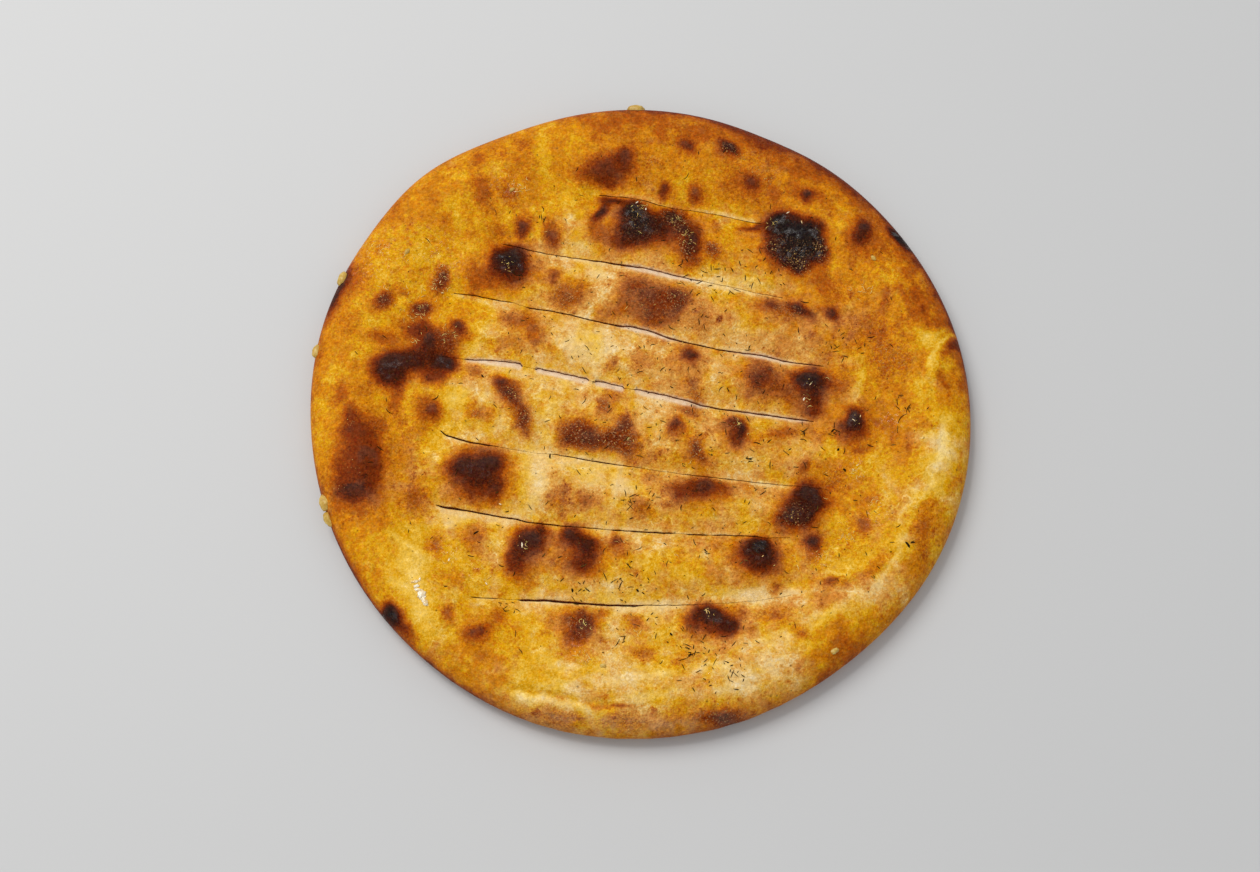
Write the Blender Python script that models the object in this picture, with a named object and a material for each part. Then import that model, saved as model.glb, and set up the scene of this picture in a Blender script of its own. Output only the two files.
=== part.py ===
"""Focaccia: a round, flat hearth bread about 290 mm across, with a puffed rim, seven knife
slits right through its field, and herb flakes and garlic crumbs baked on to it.

Sizes below are in millimetres and degrees; meshes are made in metres. The bread lies on
z = 0 with its middle on the Z axis. +X runs along the slits, and +Y points across them,
towards the shortest one.
"""

import math
import random

import bmesh
import bpy
from mathutils import Matrix, Vector, noise
from mathutils.bvhtree import BVHTree
from mathutils.geometry import interpolate_bezier

MM = 0.001
NAME = "focaccia"

# The round outline: a circle with soft swells and flats (direction, swell, spread).
RADIUS = 144.2
SWELLS = [
    (131, 4.2, 9),
    (155, 3.6, 18),
    (100, 1.9, 15),
    (254, 1.4, 14),
    (35, -1.0, 14),
    (66, -1.2, 7),
    (308, -1.9, 14),
]

# Heights above the underside.
FIELD_HEIGHT = 10.0
CREST_HEIGHT = 16.0
WIDEST_HEIGHT = 6.5
CREST_INSET = 17.0
FIELD_INSET = 42.0
PUFFED_SIDE = 300
PUFFED_EXTRA = 1.8

# The sheet that makes the top: rings of points from the widest line inwards.
GRID_CELLS = 48
RIM_INSETS = (0.0, 1.6, 5.2, 10.5, 17.0, 24.0, 31.0)
WALL_RINGS = ((1.3, 3.0), (3.6, 0.8), (6.5, 0.0))

# Slits: four points from end to end, and the widest gap.
SLITS = [
    ((-19, 102), (4, 99), (29, 94), (54, 87), 0.7),
    ((-62, 78), (-28, 70), (15, 60), (63, 52), 0.9),
    ((-84, 53), (-40, 44), (15, 29), (80, 18), 1.0),
    ((-88, 24), (-36, 14), (9, 4), (75, -7), 1.5),
    ((-88, -12), (-40, -24), (8, -30), (80, -37), 1.0),
    ((-89, -46), (-46, -54), (7, -57), (63, -60), 1.3),
    ((-72, -86), (-27, -88), (19, -89), (63, -85), 1.1),
]
SLIT_STEPS = 22
SLIT_END_GAP = 0.25
LIP_DROP = 1.1
STRIP_RISE = 2.0
STRIP_REACH = 8.0

# Baked blisters: place, half length, half width, turn, rise.
BLISTERS = [
    (-3, 90, 14, 10, 10, 3.0),
    (20, 80, 11, 5, -55, 1.8),
    (68, 78, 14, 11, -35, 3.2),
    (97, 80, 8, 7, 0, 1.6),
    (-16, 115, 12, 7, 15, 1.6),
    (-59, 68, 10, 9, 0, 2.6),
    (-107, 19, 10, 7, 0, 2.0),
    (-92, 28, 9, 6, 60, 1.4),
    (-122, -28, 20, 10, 95, 2.4),
    (-70, -28, 15, 11, -10, 2.6),
    (-55, 2, 14, 5, -58, 1.4),
    (-20, -14, 16, 8, 0, 1.5),
    (4, 51, 18, 9, -10, 1.3),
    (60, 45, 11, 6, -20, 1.3),
    (21, 22, 6, 5, 0, 1.0),
    (52, 11, 10, 8, 0, 1.4),
    (74, 11, 8, 8, 0, 2.0),
    (93, -9, 6, 6, 0, 1.4),
    (41, -9, 7, 7, 0, 1.3),
    (21, -40, 13, 6, 5, 1.4),
    (69, -48, 12, 9, 70, 2.4),
    (48, -67, 10, 9, 0, 2.4),
    (-48, -66, 11, 10, 60, 1.8),
    (-28, -66, 11, 9, -50, 1.7),
    (29, -95, 11, 7, 0, 2.0),
    (-25, -100, 10, 8, 90, 1.6),
    (-66, -101, 9, 5, 50, 1.0),
    (116, -66, 12, 8, 60, 1.2),
]

# Folds in the rim: two ends, depth (a rise where negative) and half width.
FOLDS = [
    ((-58, -125), (-14, -134), 1.5, 2.4),
    ((136, 28), (126, 12), -1.2, 3.5),
    ((-84, -102), (-62, -116), 0.8, 3.0),
    ((-136, 62), (-122, 78), 0.8, 3.0),
]

# Uneven dough: wavelength and height of each layer of waves.
UNEVENNESS = [(46, 1.0), (19, 0.45), (9, 0.25)]

# Herb flakes: spots that one could lie on, and their size.
FLAKE_SPOTS = 440
FLAKE_LENGTH = (2.2, 5.2)
FLAKE_WIDTH = 0.85
FLAKE_THICKNESS = 1.0
FLAKE_SHOWING = 0.45
FLAKE_FIELD = 122.0
FLAKE_SLIT_GAP = 3.6
FLAKE_SPACING = 5.5

# Garlic crumbs caught on the rim: direction, inset from the outline, half size.
GARLIC_CRUMBS = [
    (91, 0.6, 2.7),
    (156, 1.4, 2.4),
    (170, 0.8, 2.2),
    (198, 1.0, 2.6),
    (201, 0.4, 2.4),
    (306, 6.5, 2.0),
    (146, 22, 1.6),
    (120, 30, 1.5),
    (33, 20, 1.6),
    (262, 28, 1.6),
]


def clear_scene():
    for scene_object in list(bpy.data.objects):
        bpy.data.objects.remove(scene_object, do_unlink=True)


def new_collection(name):
    collection = bpy.data.collections.new(name)
    bpy.context.scene.collection.children.link(collection)
    return collection


def new_object(name, bm, collection):
    """Makes an object from a bmesh, and frees the bmesh."""
    mesh = bpy.data.meshes.new(name)
    bm.to_mesh(mesh)
    bm.free()
    made = bpy.data.objects.new(name, mesh)
    collection.objects.link(made)
    return made


def apply_boolean(target, operation, collection):
    """Cuts or joins every object of the collection with the target, for good."""
    boolean = target.modifiers.new(operation.lower(), "BOOLEAN")
    boolean.operation = operation
    boolean.operand_type = "COLLECTION"
    boolean.collection = collection
    boolean.solver = "EXACT"
    bpy.context.view_layer.objects.active = target
    bpy.ops.object.modifier_apply(modifier=boolean.name)


def smooth_step(value):
    value = min(max(value, 0.0), 1.0)
    return value * value * (3 - 2 * value)


# The bread's form, in millimetres.


def outline_radius(angle):
    """Distance from the middle to the widest line, in the direction of an angle in radians."""
    radius = RADIUS
    for direction, swell, spread in SWELLS:
        away = math.degrees(angle) - direction
        away = (away + 180) % 360 - 180
        radius += swell * math.exp(-((away / spread) ** 2) / 2)
    return radius


def crest_height(angle):
    """The rim puffs more on one side, where it is also paler."""
    lean = 0.5 + 0.5 * math.cos(angle - math.radians(PUFFED_SIDE))
    return CREST_HEIGHT + PUFFED_EXTRA * lean


def rim_height(inset, angle):
    """Top of the plain bread at a distance in from the widest line: round edge, crest, field."""
    crest = crest_height(angle)
    if inset < CREST_INSET:
        across = 1 - inset / CREST_INSET
        return WIDEST_HEIGHT + (crest - WIDEST_HEIGHT) * math.sqrt(1 - across * across)
    down = smooth_step((inset - CREST_INSET) / (FIELD_INSET - CREST_INSET))
    return crest + (FIELD_HEIGHT - crest) * down


def slit_line(slit):
    """Points along a slit's middle: one cubic curve through its four points."""
    first, second, third, last = (Vector((*point, 0)) for point in slit[:4])
    # Handles for a curve that passes the two inner points at a third and two thirds.
    start_handle = (18 * second - 9 * third - 5 * first + 2 * last) / 6
    end_handle = (18 * third - 9 * second - 5 * last + 2 * first) / 6
    return interpolate_bezier(first, start_handle, end_handle, last, SLIT_STEPS + 1)


def distance_to_path(spot, path):
    """Shortest way from a spot to a line of points."""
    nearest = math.inf
    for start, end in zip(path, path[1:]):
        along = end - start
        part = max(0.0, min(1.0, (spot - start).dot(along) / along.length_squared))
        nearest = min(nearest, (spot - start - part * along).length)
    return nearest


def blister_rise(x, y):
    """The highest blister at a spot, each a low dome with soft foot."""
    rise = 0.0
    for at_x, at_y, half_length, half_width, turn, height in BLISTERS:
        turned = math.radians(turn)
        along = (x - at_x) * math.cos(turned) + (y - at_y) * math.sin(turned)
        across = (y - at_y) * math.cos(turned) - (x - at_x) * math.sin(turned)
        away = math.hypot(along / half_length, across / half_width)
        rise = max(rise, height * math.exp(-(away ** 2.4)))
    return rise


def fold_depth(spot):
    depth = 0.0
    for start, end, deep, half_width in FOLDS:
        path = (Vector((*start, 0)), Vector((*end, 0)))
        away = distance_to_path(spot, path) / half_width
        depth += deep * math.exp(-away * away)
    return depth


def uneven(x, y):
    rise = 0.0
    for layer, (wavelength, height) in enumerate(UNEVENNESS):
        rise += height * noise.noise(Vector((x / wavelength, y / wavelength, 7.3 * layer)))
    return rise


def surface_rise(x, y, slit_paths):
    """What baking adds to the plain bread: strips that pillow between slits, blisters and folds."""
    inset = outline_radius(math.atan2(y, x)) - math.hypot(x, y)
    spot = Vector((x, y, 0))
    nearest_slit = min(distance_to_path(spot, path) for path in slit_paths)
    pillow = STRIP_RISE - (STRIP_RISE + LIP_DROP) * math.exp(-((nearest_slit / STRIP_REACH) ** 2))
    pillow *= smooth_step((inset - CREST_INSET) / (FIELD_INSET - CREST_INSET))
    rise = pillow + blister_rise(x, y) - fold_depth(spot) + uneven(x, y)
    return rise * smooth_step(inset / CREST_INSET)


# The dough, from a grid.


def ring_fraction(ring, rings):
    """Distance from the middle, as a share of the outline's radius, of a ring of grid points."""
    from_edge = rings - ring
    if from_edge < len(RIM_INSETS):
        return 1 - RIM_INSETS[from_edge] / RADIUS
    innermost_rim = 1 - RIM_INSETS[-1] / RADIUS
    return innermost_rim * ring / (rings - len(RIM_INSETS) + 1)


def disc_point(across, up):
    """Maps a point of the square from -1 to 1 on to the bread's round plan."""
    rings = GRID_CELLS // 2
    if abs(across) < 1e-6 and abs(up) < 1e-6:
        return 0.0, 0.0
    if abs(across) >= abs(up):
        angle = math.pi / 4 * up / across + (math.pi if across < 0 else 0)
    else:
        angle = math.pi / 2 - math.pi / 4 * across / up + (math.pi if up < 0 else 0)
    ring = round(max(abs(across), abs(up)) * rings)
    radius = outline_radius(angle) * ring_fraction(ring, rings)
    return radius * math.cos(angle), radius * math.sin(angle)


def dough_blank(collection):
    """The bread before it is slit: a domed sheet with its wall and flat underside."""
    bm = bmesh.new()
    bmesh.ops.create_grid(bm, x_segments=GRID_CELLS, y_segments=GRID_CELLS, size=1)
    for vert in bm.verts:
        x, y = disc_point(vert.co.x, vert.co.y)
        angle = math.atan2(y, x)
        inset = max(0.0, outline_radius(angle) - math.hypot(x, y))
        vert.co = Vector((x, y, rim_height(inset, angle))) * MM
    open_edges = [edge for edge in bm.edges if edge.is_boundary]
    for inset, height in WALL_RINGS:
        grown = bmesh.ops.extrude_edge_only(bm, edges=open_edges)["geom"]
        for vert in (item for item in grown if isinstance(item, bmesh.types.BMVert)):
            angle = math.atan2(vert.co.y, vert.co.x)
            radius = outline_radius(angle) - inset
            vert.co = Vector((radius * math.cos(angle), radius * math.sin(angle), height)) * MM
        grown_edges = (item for item in grown if isinstance(item, bmesh.types.BMEdge))
        open_edges = [edge for edge in grown_edges if edge.is_boundary]
    bmesh.ops.edgeloop_fill(bm, edges=open_edges)
    bmesh.ops.recalc_face_normals(bm, faces=bm.faces)
    return new_object(NAME, bm, collection)


def slit_blade(number, slit, cutters):
    """A standing blade along one slit, thin at its ends, that leaves a torn gap."""
    path = slit_line(slit)
    left = []
    right = []
    for step, point in enumerate(path):
        before = path[max(step - 1, 0)]
        after = path[min(step + 1, SLIT_STEPS)]
        side = (after - before).normalized().cross(Vector((0, 0, 1)))
        along = step / SLIT_STEPS
        torn = 1 + 0.45 * noise.noise(Vector((point.x / 11, point.y / 11, number)))
        gap = SLIT_END_GAP + slit[4] * math.sin(math.pi * along) ** 0.6 * torn
        left.append(point + side * gap / 2)
        right.append(point - side * gap / 2)
    outline = bpy.data.curves.new(f"slit_{number}_outline", "CURVE")
    outline.dimensions = "2D"
    outline.fill_mode = "BOTH"
    outline.extrude = 2 * CREST_HEIGHT * MM
    spline = outline.splines.new("POLY")
    corners = left + right[::-1]
    spline.points.add(len(corners) - 1)
    for point, corner in zip(spline.points, corners):
        point.co = (*(corner * MM), 1)
    spline.use_cyclic_u = True
    guide = bpy.data.objects.new(outline.name, outline)
    bpy.context.scene.collection.objects.link(guide)
    graph = bpy.context.evaluated_depsgraph_get()
    mesh = bpy.data.meshes.new_from_object(guide.evaluated_get(graph))
    bm = bmesh.new()
    bm.from_mesh(mesh)
    bmesh.ops.remove_doubles(bm, verts=bm.verts, dist=0.001 * MM)
    bmesh.ops.recalc_face_normals(bm, faces=bm.faces)
    bpy.data.objects.remove(guide)
    bpy.data.curves.remove(outline)
    blade = new_object(f"slit_{number}", bm, cutters)
    blade.hide_render = True
    blade.display_type = "WIRE"


def raise_surface(bread, slit_paths):
    """Lifts the top of the slit dough to its baked heights; the underside stays flat."""
    bm = bmesh.new()
    bm.from_mesh(bread.data)
    bmesh.ops.triangulate(bm, faces=bm.faces)
    top = FIELD_HEIGHT * MM / 2
    for vert in bm.verts:
        if vert.co.z > top:
            vert.co.z += surface_rise(vert.co.x / MM, vert.co.y / MM, slit_paths) * MM
    bm.to_mesh(bread.data)
    bm.free()


# What is baked on to it.


def settle(tree, x, y):
    """The surface point and normal under a spot."""
    start = Vector((x, y, 3 * CREST_HEIGHT)) * MM
    point, normal, _, _ = tree.ray_cast(start, Vector((0, 0, -1)))
    return point, normal


def flake_places(draw, slit_paths):
    """Spots for herb flakes on a golden-angle spiral, thinned towards the rim."""
    golden_angle = math.pi * (3 - math.sqrt(5))
    places = []
    for step in range(FLAKE_SPOTS):
        radius = FLAKE_FIELD * math.sqrt((step + 0.5) / FLAKE_SPOTS)
        angle = step * golden_angle
        x = radius * math.cos(angle) + draw.uniform(-3, 3)
        y = radius * math.sin(angle) + draw.uniform(-3, 3)
        share = 0.2 + 0.8 * math.exp(-(((x - 18) / 62) ** 2) - ((y + 18) / 75) ** 2)
        spot = Vector((x, y, 0))
        clear = min(distance_to_path(spot, path) for path in slit_paths) > FLAKE_SLIT_GAP
        apart = all((spot - other).length > FLAKE_SPACING for other in places)
        if draw.random() < share and clear and apart:
            places.append(spot)
    return places


def herb_flake(number, place, draw, tree, collection):
    """A needle of dried herb: a slim tapered block lying in the crust."""
    length = draw.uniform(*FLAKE_LENGTH)
    turn = draw.uniform(0, math.pi)
    point, normal = settle(tree, place.x, place.y)
    bm = bmesh.new()
    bmesh.ops.create_cube(bm, size=1)
    for vert in bm.verts:
        taper = 0.55 if vert.co.x > 0 else 1.0
        vert.co *= Vector((length, FLAKE_WIDTH * taper, FLAKE_THICKNESS))
    sink = FLAKE_SHOWING - FLAKE_THICKNESS / 2
    upright = normal.to_track_quat("Z", "X").to_matrix().to_4x4()
    place_on = Matrix.Translation(point + normal * sink * MM) @ upright @ Matrix.Rotation(turn, 4, "Z")
    bmesh.ops.transform(bm, matrix=place_on @ Matrix.Scale(MM, 4), verts=bm.verts)
    new_object(f"herb_{number}", bm, collection)


def garlic_crumb(number, crumb, draw, tree, collection):
    """A crumb of garlic, half sunk in the rim or caught on its edge."""
    direction, inset, half_size = crumb
    angle = math.radians(direction)
    radius = outline_radius(angle) - inset
    x = radius * math.cos(angle)
    y = radius * math.sin(angle)
    point, _ = settle(tree, x, y)
    bm = bmesh.new()
    bmesh.ops.create_icosphere(bm, subdivisions=1, radius=half_size * MM)
    for vert in bm.verts:
        vert.co *= draw.uniform(0.8, 1.15)
        vert.co.z *= 0.75
    turned = Matrix.Rotation(draw.uniform(0, math.pi), 4, "Z")
    bmesh.ops.transform(bm, matrix=Matrix.Translation(point) @ turned, verts=bm.verts)
    new_object(f"garlic_{number}", bm, collection)


def add_toppings(bread, slit_paths):
    """Bakes the herb flakes and garlic crumbs into the crust as one solid with it."""
    toppings = new_collection("toppings")
    draw = random.Random(11)
    bm = bmesh.new()
    bm.from_mesh(bread.data)
    tree = BVHTree.FromBMesh(bm)
    bm.free()
    for number, crumb in enumerate(GARLIC_CRUMBS):
        garlic_crumb(number, crumb, draw, tree, toppings)
    for number, place in enumerate(flake_places(draw, slit_paths)):
        herb_flake(number, place, draw, tree, toppings)
    apply_boolean(bread, "UNION", toppings)
    for topping in list(toppings.objects):
        bpy.data.objects.remove(topping, do_unlink=True)
    bpy.data.collections.remove(toppings)


def centre_on_axis(bread):
    """Puts the middle of the bread's box on the Z axis and its underside at z = 0."""
    corners = [vert.co for vert in bread.data.vertices]
    middle_x = (min(co.x for co in corners) + max(co.x for co in corners)) / 2
    middle_y = (min(co.y for co in corners) + max(co.y for co in corners)) / 2
    bottom = min(co.z for co in corners)
    bread.data.transform(Matrix.Translation((-middle_x, -middle_y, -bottom)))


def crust_material():
    material = bpy.data.materials.new("baked_crust")
    material.use_nodes = True
    surface = material.node_tree.nodes["Principled BSDF"]
    surface.inputs["Base Color"].default_value = (0.66, 0.36, 0.09, 1)
    surface.inputs["Roughness"].default_value = 0.42
    surface.inputs["Metallic"].default_value = 0.0
    return material


def build():
    clear_scene()
    parts = new_collection(NAME)
    cutters = new_collection("cutters")
    slit_paths = [slit_line(slit) for slit in SLITS]
    bread = dough_blank(parts)
    for number, slit in enumerate(SLITS):
        slit_blade(number, slit, cutters)
    apply_boolean(bread, "DIFFERENCE", cutters)
    raise_surface(bread, slit_paths)
    add_toppings(bread, slit_paths)
    centre_on_axis(bread)
    bread.data.materials.clear()
    bread.data.materials.append(crust_material())
    bread.data.shade_smooth()
    bread.data.set_sharp_from_angle(angle=math.radians(40))


build()
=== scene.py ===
"""The looks of the focaccia: its blistered crust with seven slits, the herb flakes, garlic crumbs,
pale grains, curls of lifted skin and beads of oil on it, and the light and camera that show it.

Sizes are in millimetres and degrees, in the plan of the bread; meshes are made in metres.
"""

import math
import random

import bmesh
import bpy
import numpy as np
from mathutils import Matrix, Vector, noise
from mathutils.bvhtree import BVHTree
from mathutils.geometry import delaunay_2d_cdt, interpolate_bezier


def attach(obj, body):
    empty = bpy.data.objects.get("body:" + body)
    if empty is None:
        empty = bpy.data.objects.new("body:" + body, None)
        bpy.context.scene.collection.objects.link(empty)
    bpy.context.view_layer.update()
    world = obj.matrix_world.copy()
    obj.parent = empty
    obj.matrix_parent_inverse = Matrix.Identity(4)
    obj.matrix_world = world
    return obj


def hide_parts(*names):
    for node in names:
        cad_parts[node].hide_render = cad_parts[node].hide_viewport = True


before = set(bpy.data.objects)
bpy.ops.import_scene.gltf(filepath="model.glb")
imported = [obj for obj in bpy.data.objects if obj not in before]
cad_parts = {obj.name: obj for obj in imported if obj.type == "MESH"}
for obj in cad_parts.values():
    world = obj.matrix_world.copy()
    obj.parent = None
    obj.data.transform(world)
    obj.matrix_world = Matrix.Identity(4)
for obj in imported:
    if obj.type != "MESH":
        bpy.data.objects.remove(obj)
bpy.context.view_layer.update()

MM = 0.001
NODE = "focaccia"

# From the plan of the bread to its box, whose middle is the frame's origin.
PLAN_SHIFT = (0.79, -1.42)

# The bread's form, as the solid has it.
RADIUS = 144.2
SWELLS = [
    (131, 4.2, 9), (155, 3.6, 18), (100, 1.9, 15), (254, 1.4, 14), (35, -1.0, 14), (66, -1.2, 7),
    (308, -1.9, 14),
]
FIELD_HEIGHT = 10.0
CREST_HEIGHT = 16.0
WIDEST_HEIGHT = 6.5
CREST_INSET = 17.0
FIELD_INSET = 42.0
PUFFED_SIDE = 300
PUFFED_EXTRA = 1.8
UNEVENNESS = [(46, 1.0), (19, 0.45), (9, 0.25)]

# Slits: four points from end to end, and the widest gap.
SLITS = [
    ((-19, 102), (4, 99), (29, 94), (54, 87), 0.7),
    ((-62, 78), (-28, 70), (15, 60), (63, 52), 0.9),
    ((-84, 53), (-40, 44), (15, 29), (80, 18), 1.0),
    ((-88, 24), (-36, 14), (9, 4), (75, -7), 1.5),
    ((-88, -12), (-40, -24), (8, -30), (80, -37), 1.0),
    ((-89, -46), (-46, -54), (7, -57), (63, -60), 1.3),
    ((-72, -86), (-27, -88), (19, -89), (63, -85), 1.1),
]
# How each slit tore open, from left to right beside the solid's line. In turn: the place along
# the plan, how far up the tear runs, how wide its mouth is, the share of the mouth that is a
# pale shelf below its dark edge, and how broad the pale bands above and below it are.
SLIT_COURSES = [
    [
        (-19, -0.3, 0.35, 0, 0, 0), (-8, -0.5, 0.3, 0, 0.8, 0), (0, -1, 0.3, 0, 1.5, 0),
        (8, -2, 0.3, 0, 1.5, 0), (15, -2, 0.2, 0, 1.2, 0), (25, -1.3, 0.2, 0, 1, 0),
        (35, -0.6, 0.25, 0, 1.2, 0), (45, -0.5, 0.2, 0, 1.5, 0), (54, 0.2, 0.3, 0, 0.4, 0),
    ],
    [
        (-62, -1, 0.5, 0, 0, 0), (-48, -1.2, 0.4, 0, 0, 1), (-40, -0.8, 0.25, 0, 0, 1.2),
        (-28, 0.3, 0.35, 0, 0, 0.8), (-20, 1, 0.6, 0, 0, 1), (-10, 1.7, 0.7, 0, 0.6, 1.8),
        (0, 1.8, 1.9, 0.82, 0.8, 1.8), (12, 1.4, 1.7, 0.84, 0.5, 1.5),
        (20, 1.4, 0.9, 0.7, 0.5, 1.5), (28, 1.4, 0.12, 0, 0.6, 1.8), (42, 1, 0.12, 0, 0.4, 1.6),
        (55, -0.2, 0.14, 0, 0, 1), (63, -0.8, 0.2, 0, 0, 0.5),
    ],
    [
        (-84, 0.4, 0.25, 0, 0, 1.2), (-76, 0.4, 0.35, 0, 0, 2.2), (-66, 0, 0.45, 0, 0, 3.0),
        (-59, 0.3, 0.3, 0, 0, 1), (-57, 0.3, 0.07, 0, 0, 0), (-52, -0.4, 0.07, 0, 0, 0),
        (-50, -0.4, 0.5, 0, 0, 0.6), (-40, 0.8, 0.45, 0, 0.8, 0), (-20, 1.4, 0.5, 0, 0.8, 0.4),
        (-12, 2, 0.65, 0, 0.8, 0.4), (-5, 3, 1.5, 0.6, 0.8, 0.6), (2, 3.2, 1.8, 0.72, 1, 0.6),
        (10, 2.2, 1.1, 0.45, 0.8, 0), (20, 1.8, 0.5, 0, 0.8, 0), (32, 1.6, 0.5, 0, 0.6, 0),
        (42, 2.1, 0.6, 0.2, 1.6, 0), (50, 2.4, 1.2, 0.6, 1.2, 0.4), (60, 1.6, 1.1, 0.6, 0.5, 0.8),
        (68, 1, 0.5, 0.2, 0.5, 0.5), (80, 0.6, 0.3, 0, 0.4, 0.3),
    ],
    [
        (-88, -1, 0.07, 0, 0, 0), (-79, -0.7, 0.1, 0, 0, 0), (-77, -0.5, 0.5, 0.3, 0, 0.4),
        (-70, 0.2, 1.3, 0.8, 0.3, 0.6), (-60, 0.6, 2.2, 0.9, 0.3, 0.8),
        (-53.6, 0.8, 2.8, 0.93, 0.3, 0.3), (-52.6, 0.8, 0.08, 0, 0, 0), (-47, 0.7, 0.08, 0, 0, 0),
        (-46, 0.7, 1.7, 0.88, 0.3, 0), (-24, 0.7, 2.1, 0.9, 0.3, 0), (-23.2, 0.7, 0.1, 0, 0, 0),
        (-21, 0.7, 0.1, 0, 0, 0), (-20, 0.7, 1.9, 0.92, 0, 0.3), (-8.5, 0.7, 2.1, 0.92, 0, 0.3),
        (-7.6, 0.7, 0.08, 0, 0, 0), (-3.4, 0.9, 0.08, 0, 0, 0), (-2.6, 0.9, 1.7, 0.9, 0, 0.3),
        (10, 0.4, 2.1, 0.88, 0, 0.3), (20, -0.2, 1.8, 0.8, 0.3, 0.3),
        (27, -0.6, 0.85, 0.3, 0.3, 0.3), (35, -0.7, 0.6, 0, 0.4, 0), (45, -0.5, 0.8, 0.3, 0.6, 0),
        (60, 0, 0.9, 0.4, 0.6, 0.3), (70, 0.1, 0.8, 0.3, 0.4, 0.4), (75, 0.1, 0.35, 0, 0, 0.3),
    ],
    [
        (-88, 0.6, 0.35, 0, 0, 0), (-85, -0.7, 0.65, 0, 0, 0.5), (-75, -1, 0.7, 0, 0, 1),
        (-67, -0.4, 0.6, 0, 0, 1.2), (-63, 0.1, 0.12, 0, 0.5, 0.8), (-50, 1, 0.08, 0, 0.5, 0.5),
        (-40, 2, 0.1, 0, 0, 0), (-37, 2.2, 0.35, 0, 0, 0), (-20, 1.6, 0.45, 0, 0.6, 0.3),
        (-8, 1.1, 0.35, 0, 0.5, 0.3), (0, 0.8, 0.12, 0, 0.5, 0), (16, -0.3, 0.09, 0, 0.2, 0.2),
        (20, -0.4, 0.26, 0, 0.5, 0.9), (40, -0.8, 0.26, 0, 0.5, 1.0), (60, -1.1, 0.24, 0, 0.4, 0.6),
        (70, -1.1, 0.1, 0, 0.2, 0), (80, -1.1, 0.07, 0, 0, 0),
    ],
    [
        (-89, 0.9, 0.1, 0, 0, 0.6), (-86, 1.1, 0.9, 0, 0, 1.5), (-82, 1.6, 1, 0, 0, 2),
        (-76, 2.1, 0.65, 0, 0.4, 2.5), (-66, 2.1, 0.55, 0, 1, 2.5), (-55, 1.8, 0.55, 0, 1, 1.5),
        (-49, 0.9, 0.55, 0, 0.6, 0.6), (-40, 0.6, 0.5, 0, 0.3, 0.3), (-30, 0.4, 0.35, 0, 1, 0.3),
        (-18, 0.2, 0.35, 0, 1, 0.3), (-15, 0, 0.08, 0, 0.4, 0), (-12, -0.1, 0.45, 0, 0.5, 0.3),
        (12, -0.4, 0.5, 0, 0.5, 0.3), (14, -0.4, 0.07, 0, 0.4, 0), (19, -0.6, 0.07, 0, 0.4, 0),
        (20, -0.6, 0.5, 0, 0.4, 0), (27, -0.6, 0.45, 0, 0.4, 0), (29, -0.5, 0.1, 0, 0.4, 0),
        (32, -0.4, 0.4, 0, 0.5, 0), (48, -0.5, 0.4, 0, 0.5, 0), (52, -0.9, 0.18, 0, 0.3, 0),
        (63, 0.2, 0.1, 0, 0, 0),
    ],
    [
        (-72, 0, 0.3, 0, 0, 0.3), (-63, 0, 0.3, 0, 0, 0.3), (-61, 0, 0.08, 0, 0, 0),
        (-53, 0, 0.08, 0, 0, 0), (-51, 0, 0.8, 0, 0, 0.3), (-40, 0.2, 0.9, 0.1, 0, 0.5),
        (-20, -0.6, 0.8, 0.1, 0.3, 0.6), (-3, -0.4, 0.75, 0.1, 0.6, 2.5), (1, 0, 0.25, 0, 1.2, 2.5),
        (20, 0.2, 0.22, 0, 2, 0.5), (24, 0.2, 0.08, 0, 2.4, 0.5), (60, 0, 0.07, 0, 2.2, 0.5),
    ],
]
NARROWEST_MOUTH = 0.07
TIP_REACH = 0.5
SHELF_DEPTH = 0.18
SHELF_SLOPE = 0.3
# Down a slit's wall: the share of the shelf's depth, and of its way across.
SHELF_LEVELS = ((0.3, 0.45), (0.7, 0.85), (1.0, 1.0))
UNDERCUT = 0.2
CRACK_DEPTH = 1.3
CRACK_HALF_GAP = 0.08
# The shelf's tone, and the dark tone of the crack below it, which is painted shade.
SHELF_TONE = 0.6
CRACK_PAINTED_SHADE_TONE = 0.82
SLIT_OIL = 0.7
COURSE_STEPS = 70
SLIT_STEPS = 22
LIP_DROP = 1.1
STRIP_RISE = 2.0
STRIP_REACH = 8.0

# Baked blisters that stand up: place, half length, half width, turn, rise.
BLISTERS = [
    (-3, 90, 14, 10, 10, 3.0), (20, 80, 11, 5, -55, 1.8), (68, 78, 14, 11, -35, 3.2),
    (97, 80, 8, 7, 0, 1.6), (-16, 115, 12, 7, 15, 1.6), (-59, 68, 10, 9, 0, 2.6),
    (-107, 19, 10, 7, 0, 2.0), (-92, 28, 9, 6, 60, 1.4), (-122, -28, 20, 10, 95, 2.4),
    (-70, -28, 15, 11, -10, 2.6), (-55, 2, 14, 5, -58, 1.4), (-20, -14, 16, 8, 0, 1.5),
    (4, 51, 18, 9, -10, 1.3), (60, 45, 11, 6, -20, 1.3), (21, 22, 6, 5, 0, 1.0),
    (52, 11, 10, 8, 0, 1.4), (74, 11, 8, 8, 0, 2.0), (93, -9, 6, 6, 0, 1.4), (41, -9, 7, 7, 0, 1.3),
    (21, -40, 13, 6, 5, 1.4), (69, -48, 12, 9, 70, 2.4), (48, -67, 10, 9, 0, 2.4),
    (-48, -66, 11, 10, 60, 1.8), (-28, -66, 11, 9, -50, 1.7), (29, -95, 11, 7, 0, 2.0),
    (-25, -100, 10, 8, 90, 1.6), (-66, -101, 9, 5, 50, 1.0), (116, -66, 12, 8, 60, 1.2),
]

# Little bubbles: how many, and how far out.
BUBBLES = 420
BUBBLE_FIELD = 138

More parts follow.
